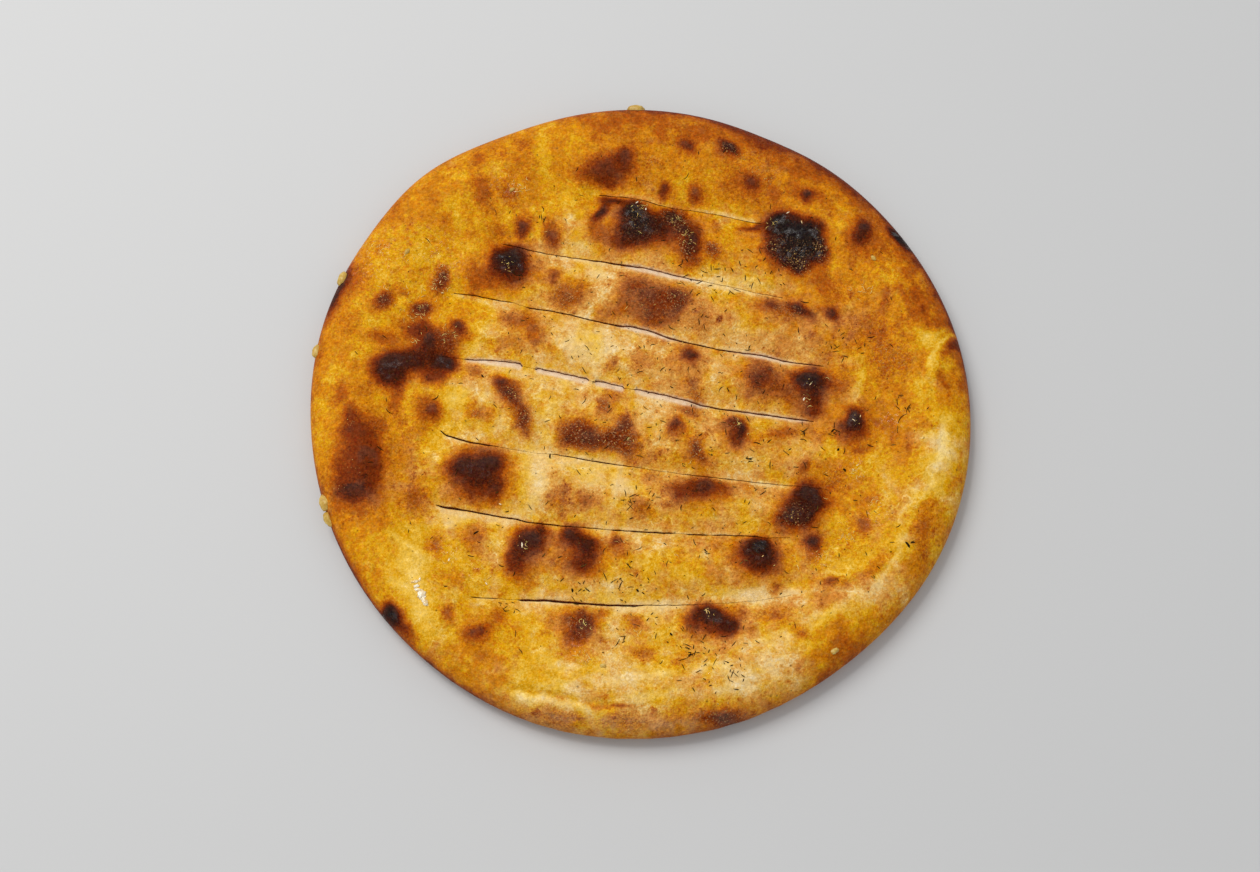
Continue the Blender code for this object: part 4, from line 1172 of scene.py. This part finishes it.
def flake_places(draw, slit_paths):
    """The spots of the solid's herb flakes, by the same rule and the same draws."""
    golden_angle = math.pi * (3 - math.sqrt(5))
    places = []
    for step in range(FLAKE_SPOTS):
        radius = FLAKE_FIELD * math.sqrt((step + 0.5) / FLAKE_SPOTS)
        angle = step * golden_angle
        x = radius * math.cos(angle) + draw.uniform(-3, 3)
        y = radius * math.sin(angle) + draw.uniform(-3, 3)
        share = herb_share(x, y, 0.2, 18, 62, 75)
        spot_x, spot_y = np.array([x]), np.array([y])
        to_slit = min(path_distance(spot_x, spot_y, path)[0][0] for path in slit_paths)
        apart = all(math.hypot(x - other[0], y - other[1]) > FLAKE_SPACING for other in places)
        if draw.random() < share and to_slit > FLAKE_SLIT_GAP and apart:
            places.append((x, y))
    return places


def add_needle(bm, point, normal, length, width, turn, bend, draw, shade, layer):
    """One bent, tapered herb needle lying on the crust."""
    rings = 5
    upright = normal.to_track_quat("Z", "X").to_matrix().to_4x4()
    place_on = Matrix.Translation(point) @ upright @ Matrix.Rotation(turn, 4, "Z")
    loops = []
    lift = draw.uniform(0.0, 0.12)
    for ring in range(rings):
        along = ring / (rings - 1) - 0.5
        taper = math.sqrt(max(0.02, 1 - (2 * along) ** 2)) * (1.0 - 0.25 * along)
        half = width / 2 * max(taper, 0.25)
        side = bend * along * along * 4
        tall = width * 0.42 * max(taper, 0.3)
        rise = lift * length * (along + 0.5) ** 2
        loop = []
        for across, up in ((-1, -0.4), (0, 1.0), (1, -0.4)):
            spot = Vector((along * length, side + across * half, rise + 0.12 + up * tall))
            vert = bm.verts.new(place_on @ (spot * MM))
            vert[layer] = shade
            loop.append(vert)
        loops.append(loop)
    for one, two in zip(loops, loops[1:]):
        for corner in range(3):
            following = (corner + 1) % 3
            bm.faces.new((one[corner], one[following], two[following], two[corner]))
    bm.faces.new(loops[0][::-1])
    bm.faces.new(loops[-1])


def finish_piece(name, bm, material):
    """Turns a bmesh into a piece of the object that stands for the bread's solid."""
    bmesh.ops.recalc_face_normals(bm, faces=bm.faces)
    mesh = bpy.data.meshes.new(name)
    bm.to_mesh(mesh)
    bm.free()
    mesh.shade_smooth()
    mesh.materials.append(material)
    piece = bpy.data.objects.new(name, mesh)
    bpy.context.scene.collection.objects.link(piece)
    return piece


def make_garlic(draw, tree, material):
    """Crumbs of garlic caught on the rim, where the solid has them."""
    bm = bmesh.new()
    lumps = random.Random(23)
    for direction, inset, half_size in GARLIC_CRUMBS:
        # The solid draws its crumb's corners here. The same draws keep the herbs in step with it.
        for _ in range(CRUMB_CORNERS):
            draw.uniform(0.8, 1.15)
        turn = draw.uniform(0, math.pi)
        angle = math.radians(direction)
        radius = float(outline_radius(angle)) - inset
        point, _ = settle(tree, radius * math.cos(angle), radius * math.sin(angle))
        if inset > GARLIC_RIM:
            half_size *= FINER_INSIDE
        made = bmesh.ops.create_icosphere(bm, subdivisions=3, radius=half_size * MM)["verts"]
        phase = lumps.uniform(0, 50)
        for vert in made:
            outward = vert.co.normalized()
            lumpy = 1 + 0.30 * noise.noise(outward * 1.3 + Vector((phase, 0, 0)))
            lumpy += 0.10 * noise.noise(outward * 4.0 + Vector((0, phase, 0)))
            vert.co = outward * half_size * MM * lumpy
            vert.co.z *= 0.75
        along_rim = Matrix.Rotation(angle, 4, "Z") @ Matrix.Diagonal((0.9, 1.45, 1, 1))
        place_on = Matrix.Translation(point) @ along_rim @ Matrix.Rotation(turn, 4, "Z")
        bmesh.ops.transform(bm, matrix=place_on, verts=made)
    return finish_piece("garlic_crumbs", bm, material)


def scattered(tree, clusters, draw):
    """Spots of the crust in clusters, each as a point and a normal."""
    for at_x, at_y, spread, count in clusters:
        for _ in range(count):
            radius = spread * draw.random() ** 0.7
            angle = draw.uniform(0, 2 * math.pi)
            x = at_x + radius * math.cos(angle)
            y = at_y + radius * math.sin(angle)
            point, normal = settle(tree, x, y)
            if normal is not None and normal.z > 0.3:
                yield point, normal


def make_grains(tree, material):
    """Pale grains, mostly on the darkest blisters, and pale curls of lifted skin that are partly
    painted glints.
    """
    bm = bmesh.new()
    layer = bm.verts.layers.float.new("shade")
    draw = random.Random(41)
    for point, _ in scattered(tree, GRAIN_CLUSTERS, draw):
        half_size = GRAIN_SIZE[0] + (GRAIN_SIZE[1] - GRAIN_SIZE[0]) * draw.random() ** 2
        made = bmesh.ops.create_icosphere(bm, subdivisions=1, radius=half_size * MM)["verts"]
        for vert in made:
            vert.co *= draw.uniform(0.7, 1.3)
            vert[layer] = draw.uniform(0.3, 1.0)
        stretch = Matrix.Diagonal((draw.uniform(0.8, 1.8), draw.uniform(0.7, 1.1), 0.7, 1))
        turn = Matrix.Rotation(draw.uniform(0, math.pi), 4, "Z")
        bmesh.ops.transform(bm, matrix=Matrix.Translation(point) @ turn @ stretch, verts=made)
    for point, normal in scattered(tree, CURL_AND_GLINT_CLUSTERS, draw):
        length = draw.uniform(*CURL_LENGTH)
        bend = draw.uniform(-0.5, 0.5) * length
        width = draw.uniform(*CURL_WIDTH)
        turn = draw.uniform(0, math.pi)
        shade = draw.uniform(*CURL_GLINT_SHADE)
        add_needle(bm, point, normal, length, width, turn, bend, draw, shade, layer)
    return finish_piece("pale_grains", bm, material)


def make_oil_beads_painted_glint(tree, material):
    """Beads of oil, low, smooth and glossy, coloured near white as a painted glint."""
    bm = bmesh.new()
    draw = random.Random(47)
    for at_x, at_y, half_length, half_width, turn in OIL_BEADS_PAINTED_GLINT:
        point, normal = settle(tree, at_x, at_y)
        made = bmesh.ops.create_icosphere(bm, subdivisions=3, radius=1.0)["verts"]
        phase = draw.uniform(0, 50)
        for vert in made:
            outward = vert.co.normalized()
            lumpy = 1 + 0.5 * noise.noise(outward * 1.7 + Vector((phase, 0, 0)))
            lumpy += 0.2 * noise.noise(outward * 4.5 + Vector((0, phase, 0)))
            vert.co = outward * lumpy
        upright = normal.to_track_quat("Z", "X").to_matrix().to_4x4()
        long, broad, tall = BEAD_FORM
        size = Matrix.Diagonal(
            (long * half_length * MM, broad * half_width * MM, tall * half_width * MM, 1)
        )
        place_on = Matrix.Translation(point) @ upright @ Matrix.Rotation(math.radians(turn), 4, "Z")
        bmesh.ops.transform(bm, matrix=place_on @ size, verts=made)
    return finish_piece("oil_beads_painted_glint", bm, material)


def add_solid_flakes(bm, layer, draw, tree, slit_paths):
    """The needles that the solid has too."""
    looks = random.Random(17)
    for x, y in flake_places(draw, slit_paths):
        length = draw.uniform(*FLAKE_LENGTH)
        turn = draw.uniform(0, math.pi)
        point, normal = settle(tree, x, y)
        width = looks.uniform(*FLAKE_WIDTH)
        bend = looks.uniform(-0.12, 0.12) * length
        shade = looks.random()
        add_needle(bm, point, normal, 0.75 * length, width, turn, bend, looks, shade, layer)


def strew_needle(bm, layer, point, normal, length, widths, curve, shades, draw):
    """A needle whose width, turn, bend and shade are left to chance."""
    width = draw.uniform(*widths)
    turn = draw.uniform(0, math.pi)
    bend = draw.uniform(-curve, curve) * length
    shade = shades[0] + (shades[1] - shades[0]) * draw.random()
    add_needle(bm, point, normal, length, width, turn, bend, draw, shade, layer)


def add_fine_herbs(bm, layer, draw, tree):
    """Short needles strewn between the larger ones."""
    wanted = FINE_HERBS
    while wanted:
        radius = FINE_HERB_FIELD * math.sqrt(draw.random())
        angle = draw.uniform(0, 2 * math.pi)
        x = radius * math.cos(angle)
        y = radius * math.sin(angle)
        if draw.random() > herb_share(x, y, 0.15, 20, 60, 72):
            continue
        wanted -= 1
        point, normal = settle(tree, x, y)
        if normal is None or normal.z < 0.6:
            continue
        length = 0.4 + 2.0 * draw.random() ** 3
        strew_needle(bm, layer, point, normal, length, FINE_WIDTH, 0.10, (0.25, 1.0), draw)


def make_herbs(draw, tree, slit_paths, material):
    """Herb needles: those of the solid, finer ones between them and in tufts, and sprigs."""
    bm = bmesh.new()
    layer = bm.verts.layers.float.new("shade")
    add_solid_flakes(bm, layer, draw, tree, slit_paths)
    fine = random.Random(29)
    add_fine_herbs(bm, layer, fine, tree)
    for point, normal in scattered(tree, HERB_TUFTS, fine):
        length = 1.0 + 3.2 * fine.random() ** 2
        strew_needle(bm, layer, point, normal, length, TUFT_WIDTH, 0.05, (0.0, 0.8), fine)
    for x, y, length, width, turn in SPRIGS:
        point, normal = settle(tree, x, y)
        bend = fine.uniform(-0.15, 0.15) * length
        add_needle(bm, point, normal, length, width, math.radians(turn), bend, fine, 0.0, layer)
    return finish_piece("herb_flakes", bm, material)


# Materials.


class Shading:
    """A material in the making: each method adds nodes and returns what comes out of them."""

    def __init__(self, name):
        self.material = bpy.data.materials.new(name)
        self.material.use_nodes = True
        self.nodes = self.material.node_tree.nodes
        self.links = self.material.node_tree.links
        self.nodes.clear()
        output = self.nodes.new("ShaderNodeOutputMaterial")
        self.shader = self.nodes.new("ShaderNodeBsdfPrincipled")
        self.links.new(self.shader.outputs[0], output.inputs[0])
        self.where = self.nodes.new("ShaderNodeTexCoord").outputs["Object"]

    def give(self, socket, value):
        if isinstance(value, (int, float, tuple)):
            socket.default_value = value
        else:
            self.links.new(value, socket)

    def look(self, name, value):
        self.give(self.shader.inputs[name], value)

    def node(self, kind, inputs, **settings):
        """A new node with its settings, and with what goes into it by name or number."""
        node = self.nodes.new("ShaderNode" + kind)
        for name, value in settings.items():
            setattr(node, name, value)
        for place, value in inputs.items():
            self.give(node.inputs[place], value)
        return node

    def maths(self, operation, first, second):
        return self.node("Math", {0: first, 1: second}, operation=operation).outputs[0]

    def joined(self, operation, values):
        total = values[0]
        for value in values[1:]:
            total = self.maths(operation, total, value)
        return total

    def added(self, *values):
        return self.joined("ADD", values)

    def product(self, *values):
        return self.joined("MULTIPLY", values)

    def scaled(self, value, factor, offset):
        """value * factor + offset"""
        return self.added(self.product(value, factor), offset)

    def swing(self, texture, amount):
        """A texture from 0 to 1, made to swing to both sides of zero by half the amount."""
        return self.product(self.maths("SUBTRACT", texture, 0.5), amount)

    def attribute(self, name):
        return self.node("Attribute", {}, attribute_name=name).outputs["Fac"]

    def noise(self, scale, detail=3.0, roughness=0.6, colour=False):
        inputs = {"Vector": self.where, "Scale": scale, "Detail": detail, "Roughness": roughness}
        return self.node("TexNoise", inputs).outputs["Color" if colour else "Fac"]

    def warped(self, scale, reach):
        """The place of each spot, pushed about so that what is drawn there is uneven."""
        push = {0: self.noise(scale, 2, colour=True), 1: (reach, reach, reach), 2: self.where}
        return self.node("VectorMath", push, operation="MULTIPLY_ADD").outputs[0]

    def graded(self, value, low, high):
        """0 at low, 1 at high, and smooth between."""
        inputs = {"Value": value, "From Min": low, "From Max": high}
        return self.node("MapRange", inputs, interpolation_type="SMOOTHSTEP").outputs[0]

    def ridges(self, texture, width):
        """Thin lines, where a texture passes its middle."""
        away = self.maths("ABSOLUTE", self.maths("SUBTRACT", texture, 0.5), 0.0)
        return self.graded(away, width, 0.0)

    def voronoi(self, where, scale):
        return self.node("TexVoronoi", {"Vector": where, "Scale": scale})

    def cells(self, where, scale):
        """Rounded cells, lowest in their middles."""
        return self.voronoi(where, scale).outputs["Distance"]

    def freckles(self, where, scale, kept, largest):
        """Soft freckles, one in each cell that is kept, each with a size of its own."""
        cells = self.voronoi(where, scale)
        picked = self.node("SeparateColor", {0: cells.outputs["Color"]})
        near = self.graded(cells.outputs["Distance"], self.product(picked.outputs[1], largest), 0.0)
        return self.product(near, self.maths("LESS_THAN", picked.outputs[0], kept))

    def ramp(self, value, stops):
        node = self.node("ValToRGB", {0: value})
        node.color_ramp.interpolation = "EASE"
        elements = node.color_ramp.elements
        elements[0].position, elements[0].color = stops[0]
        elements[1].position, elements[1].color = stops[-1]
        for position, colour in stops[1:-1]:
            elements.new(position).color = colour
        return node.outputs[0]

    def mixed(self, share, first, second, **settings):
        """One colour turned into the other by a share, or as the settings say."""
        inputs = {0: share, 6: first, 7: second}
        return self.node("Mix", inputs, data_type="RGBA", **settings).outputs[2]

    def brightened(self, colour, factor):
        return self.node("HueSaturation", {"Color": colour, "Value": factor}).outputs[0]

    def lifted(self, colour, amount, tint):
        """A colour with a share of a tint added, or taken away where the amount is below zero."""
        return self.mixed(
            amount, colour, tint, blend_type="ADD", clamp_factor=False, clamp_result=True
        )

    def relief(self, height, strength, distance):
        inputs = {"Strength": strength, "Distance": distance * MM, "Height": height}
        self.look("Normal", self.node("Bump", inputs).outputs[0])


def srgb(red, green, blue):
    """A colour as seen on a screen, from 0 to 255, as the shader's linear values."""

    def linear(value):
        value /= 255
        return value / 12.92 if value <= 0.04045 else ((value + 0.055) / 1.055) ** 2.4

    return (linear(red), linear(green), linear(blue), 1)


# The crust's colours from barely baked to burnt, where it is dry and where oil soaked in.
DRY_TONES = [
    (0.00, srgb(244, 220, 174)),
    (0.16, srgb(234, 196, 128)),
    (0.33, srgb(221, 162, 78)),
    (0.48, srgb(203, 130, 52)),
    (0.62, srgb(164, 92, 40)),
    (0.76, srgb(112, 57, 33)),
    (0.88, srgb(66, 37, 29)),
    (1.00, srgb(28, 21, 21)),
]
OILY_TONES = [
    (0.00, srgb(248, 210, 116)),
    (0.16, srgb(233, 184, 62)),
    (0.33, srgb(220, 160, 9)),
    (0.48, srgb(205, 127, 0)),
    (0.62, srgb(172, 86, 0)),
    (0.76, srgb(122, 46, 0)),
    (0.88, srgb(68, 22, 2)),
    (1.00, srgb(26, 16, 12)),
]


def baked_tone(look, tone, oil, ragged, grain):
    """How far each spot is baked: the mesh's broad baking, with freckles, wrinkles and grain."""
    pale_enough = look.graded(tone, 0.62, 0.34)
    calm = look.scaled(pale_enough, 0.85, 0.15)
    calm = look.product(calm, look.scaled(look.graded(tone, 0.10, 0.30), 0.5, 0.5))
    uneven = look.warped(170, 0.006)
    broad = look.swing(look.noise(130, 4, 0.6), 0.22)
    freckled = look.added(look.scaled(oil, -0.55, 1.0), look.product(grain, 0.9))
    brown = look.freckles(uneven, 165, 0.42, 0.75)
    small_brown = look.freckles(uneven, 330, 0.30, 0.75)
    pale = look.freckles(look.warped(240, 0.005), 210, 0.30, 0.8)
    wrinkles = look.ridges(look.noise(95, 3, 0.6), 0.035)
    wrinkles = look.product(wrinkles, look.graded(look.noise(55, 2), 0.42, 0.62))
    spread = look.added(
        broad,
        look.product(brown, freckled, 0.22),
        look.product(small_brown, freckled, 0.20),
        look.product(pale, -0.17),
        look.product(wrinkles, -0.16),
    )
    middle = look.swing(look.noise(520, 3, 0.6), look.scaled(calm, 0.24, 0.04))
    fine = look.swing(
        look.noise(1350, 2, 0.6),
        look.added(look.product(ragged, 0.14), look.product(grain, 0.22), look.product(calm, 0.46)),
    )
    return look.maths("MAXIMUM", look.added(tone, look.product(spread, calm), middle, fine), 0.0)


def soaked_share(look, tone, oil):
    """How far oil soaked in, unevenly where the crust is browned."""
    coarse = look.swing(look.noise(190, 3, 0.6), 1.2)
    fine = look.swing(look.noise(640, 2, 0.6), 0.6)
    browned = look.scaled(look.graded(tone, 0.08, 0.30), 0.6, 0.4)
    uneven = look.product(look.added(coarse, fine), browned)
    return look.graded(look.added(oil, uneven), 0.1, 0.9)


def with_fine_light(look, colour, tone):
    """Fine light and dark tone, strongest where the crust is browned, and where it isn't a pale grain
    that is partly a painted sparkle of highlight.
    """
    fineness = look.scaled(look.graded(tone, 0.25, 0.7), 1.1, 0.7)
    speckle = look.swing(look.noise(700, 4, 0.75), look.scaled(fineness, 1.0, 0.1))
    mottle = look.swing(look.noise(300, 2), look.scaled(fineness, 0.45, 0.0))
    colour = look.brightened(colour, look.added(speckle, mottle, 1.0))
    # A pale lift: grain, and partly a painted sparkle of highlight on the oiled crust.
    paler = look.scaled(look.graded(tone, 0.85, 0.35), 0.34, 0.05)
    pale_grain_and_sparkle = look.swing(look.noise(760, 3, 0.7), paler)
    return look.lifted(colour, pale_grain_and_sparkle, (1.0, 0.88, 0.35, 1))


def with_crumb_and_flour(look, colour, crumb, flour, middle):
    """Crumb in the slits, and flour on the near rim."""
    pale_crumb = look.ramp(middle, [(0.3, srgb(228, 196, 156)), (0.7, srgb(244, 222, 192))])
    colour = look.mixed(look.product(crumb, 0.85), colour, pale_crumb)
    floured = look.product(look.graded(look.noise(160, 4), 0.38, 0.7), flour, 0.55)
    return look.mixed(floured, colour, srgb(232, 212, 180))


def crust_gloss(look, tone, soaked, crumb, flour, wet, middle):
    """Oiled crust is a little glossy, crumb and flour are dull, and char shines in patches."""
    dull = look.maths("MAXIMUM", crumb, flour)
    patches = look.graded(look.noise(260, 3), 0.5, 0.62)
    shine = look.product(look.graded(tone, 0.84, 0.97), patches)
    wet = look.product(wet, look.graded(look.noise(620, 2), 0.54, 0.64))
    rough = look.added(
        look.scaled(soaked, -0.10, 0.58),
        look.product(dull, 0.25),
        look.product(wet, -0.40),
        look.product(shine, -0.30),
        look.swing(middle, 0.3),
    )
    look.look("Roughness", look.maths("MAXIMUM", rough, 0.12))
    specular = look.added(look.product(wet, 0.45), look.product(shine, 0.35), 0.06)
    look.look("Specular IOR Level", specular)


def crust_relief(look, tone, grain, grains, middle):
    """Fine relief, with rounded cells where the crust is grainy or charred."""
    blistered = look.maths("MAXIMUM", look.graded(tone, 0.62, 0.9), grain)
    height = look.added(
        look.product(look.noise(140, 6, 0.66), 0.6),
        look.product(middle, look.scaled(grain, 0.5, 0.6)),
        look.product(look.noise(1100, 2), 0.35),
        look.product(look.cells(look.warped(240, 0.005), 400), blistered, 0.6),
        look.product(grains, 0.4),
    )
    look.relief(height, 0.8, 1.1)


def crust_material():
    look = Shading("baked_crust")
    tone, ragged, grain, oil, crumb, flour, wet, under = (
        look.attribute(name) for name in (*TOP_LAYERS, "under")
    )
    baked = baked_tone(look, tone, oil, ragged, grain)
    middle = look.noise(420, 4, 0.66)
    soaked = soaked_share(look, tone, oil)
    colour = look.mixed(soaked, look.ramp(baked, DRY_TONES), look.ramp(baked, OILY_TONES))
    colour = with_fine_light(look, colour, tone)
    # Pale grains in the browned spots, and dark flecks of herb dust everywhere.
    grains = look.graded(look.noise(1250, 2, 0.6), 0.56, 0.66)
    grains = look.product(grains, look.graded(grain, 0.3, 0.95), look.graded(tone, 0.4, 0.66), 0.6)
    colour = look.mixed(grains, colour, srgb(214, 160, 108))
    dust = look.product(look.freckles(look.where, 340, 0.25, 0.28), 0.75)
    colour = look.mixed(dust, colour, srgb(84, 52, 16))
    colour = with_crumb_and_flour(look, colour, crumb, flour, middle)
    below = look.ramp(
        look.noise(140, 6, 0.66),
        [(0.3, srgb(206, 158, 92)), (0.52, srgb(170, 108, 46)), (0.72, srgb(96, 56, 28))],
    )
    look.look("Base Color", look.mixed(under, colour, below))
    crust_gloss(look, tone, soaked, crumb, flour, wet, middle)
    crust_relief(look, tone, grain, grains, middle)
    return look.material


def herb_material():
    look = Shading("dried_herb")
    shades = look.ramp(
        look.attribute("shade"),
        [
            (0.0, srgb(38, 24, 8)),
            (0.35, srgb(62, 40, 12)),
            (0.6, srgb(84, 60, 18)),
            (0.8, srgb(112, 88, 32)),
            (1.0, srgb(156, 130, 66)),
        ],
    )
    streaks = look.noise(2200, 2)
    look.look("Base Color", look.mixed(look.product(streaks, 0.8), shades, srgb(40, 28, 10)))
    look.look("Roughness", 0.7)
    look.look("Specular IOR Level", 0.06)
    look.relief(streaks, 0.4, 0.2)
    return look.material


def grain_and_glint_material():
    look = Shading("pale_grain_and_sparkle")
    # The palest shades, those of the curls, are partly painted glints.
    shades = [(0.0, srgb(255, 232, 140)), (0.35, srgb(240, 198, 104)), (1.0, srgb(150, 112, 76))]
    look.look("Base Color", look.ramp(look.attribute("shade"), shades))
    look.look("Roughness", 0.5)
    look.look("Specular IOR Level", 0.08)
    return look.material


def oil_painted_glint_material():
    look = Shading("oil")
    # Near white: a painted glint on the oil, not the oil's own colour.
    shades = [(0.35, srgb(250, 240, 214)), (0.65, srgb(230, 190, 112))]
    look.look("Base Color", look.ramp(look.noise(300, 2), shades))
    look.look("Roughness", 0.12)
    look.look("Specular IOR Level", 0.6)
    look.relief(look.noise(700, 2), 0.5, 0.4)
    return look.material


def garlic_material():
    look = Shading("baked_garlic")
    mottle = look.noise(520, 3)
    shades = [(0.3, srgb(214, 186, 104)), (0.6, srgb(192, 152, 58)), (0.8, srgb(144, 100, 36))]
    look.look("Base Color", look.ramp(mottle, shades))
    look.look("Roughness", 0.4)
    look.look("Subsurface Weight", 0.2)
    look.look("Subsurface Radius", (1.0, 0.7, 0.3))
    look.look("Subsurface Scale", 1.2 * MM)
    look.relief(mottle, 0.5, 0.4)
    return look.material


# Stage.


# The studio, in metres: its floor, the glow all round, and each light's place, aim, size, power
# and tint.
FLOOR_SIZE = 6
FLOOR_COLOUR = (0.60, 0.60, 0.60, 1)
GLOW_TINT = (0.97, 0.985, 1.0, 1)
GLOW_STRENGTH = 0.55
LIGHTS = {
    "key": ((-0.75, 0.7, 1.5), (-0.05, 0.02, 0), 1.1, 18.5, (1.0, 0.985, 0.96)),
    "spark": ((-0.55, 0.5, 1.75), (0, 0, 0), 0.12, 2.2, (1.0, 1.0, 1.0)),
}
CAMERA_TILT = 72.0
CAMERA_DISTANCE = 0.772
CAMERA_AIM = (-0.0044, -0.0124, 0.0)
LENS = 50
SENSOR_WIDTH = 36


def make_floor():
    bpy.ops.mesh.primitive_plane_add(size=FLOOR_SIZE)
    floor = bpy.context.object
    floor.name = "floor"
    look = Shading("pale_floor")
    look.look("Base Color", FLOOR_COLOUR)
    look.look("Roughness", 0.7)
    floor.data.materials.append(look.material)


def add_light(name, place, aim, size, power, tint):
    data = bpy.data.lights.new(name, "AREA")
    data.shape = "DISK"
    data.size = size
    data.energy = power
    data.color = tint
    light = bpy.data.objects.new(name, data)
    light.location = place
    light.rotation_euler = (Vector(aim) - Vector(place)).to_track_quat("-Z", "Y").to_euler()
    bpy.context.scene.collection.objects.link(light)


def make_camera():
    data = bpy.data.cameras.new("camera")
    data.lens = LENS
    data.sensor_width = SENSOR_WIDTH
    camera = bpy.data.objects.new("camera", data)
    tilt = math.radians(CAMERA_TILT)
    aim = Vector(CAMERA_AIM)
    camera.location = aim + CAMERA_DISTANCE * Vector((0, -math.cos(tilt), math.sin(tilt)))
    camera.rotation_euler = (aim - camera.location).to_track_quat("-Z", "Y").to_euler()
    bpy.context.scene.collection.objects.link(camera)
    bpy.context.scene.camera = camera


def make_light():
    world = bpy.data.worlds.new("studio")
    world.use_nodes = True
    background = world.node_tree.nodes["Background"]
    background.inputs[0].default_value = GLOW_TINT
    background.inputs[1].default_value = GLOW_STRENGTH
    bpy.context.scene.world = world
    for name, light in LIGHTS.items():
        add_light(name, *light)


def main():
    slit_paths = [slit_line(slit) for slit in SLITS]
    crust = make_crust(crust_material())
    bm = bmesh.new()
    bm.from_mesh(crust.data)
    tree = BVHTree.FromBMesh(bm)
    bm.free()
    draw = random.Random(SEED)
    garlic = make_garlic(draw, tree, garlic_material())
    herbs = make_herbs(draw, tree, slit_paths, herb_material())
    grains = make_grains(tree, grain_and_glint_material())
    beads = make_oil_beads_painted_glint(tree, oil_painted_glint_material())
    for piece in (crust, garlic, herbs, grains, beads):
        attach(piece, "root")
        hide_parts(NODE)
    make_floor()
    make_light()
    make_camera()
    scene = bpy.context.scene
    scene.view_settings.view_transform = "Standard"


main()
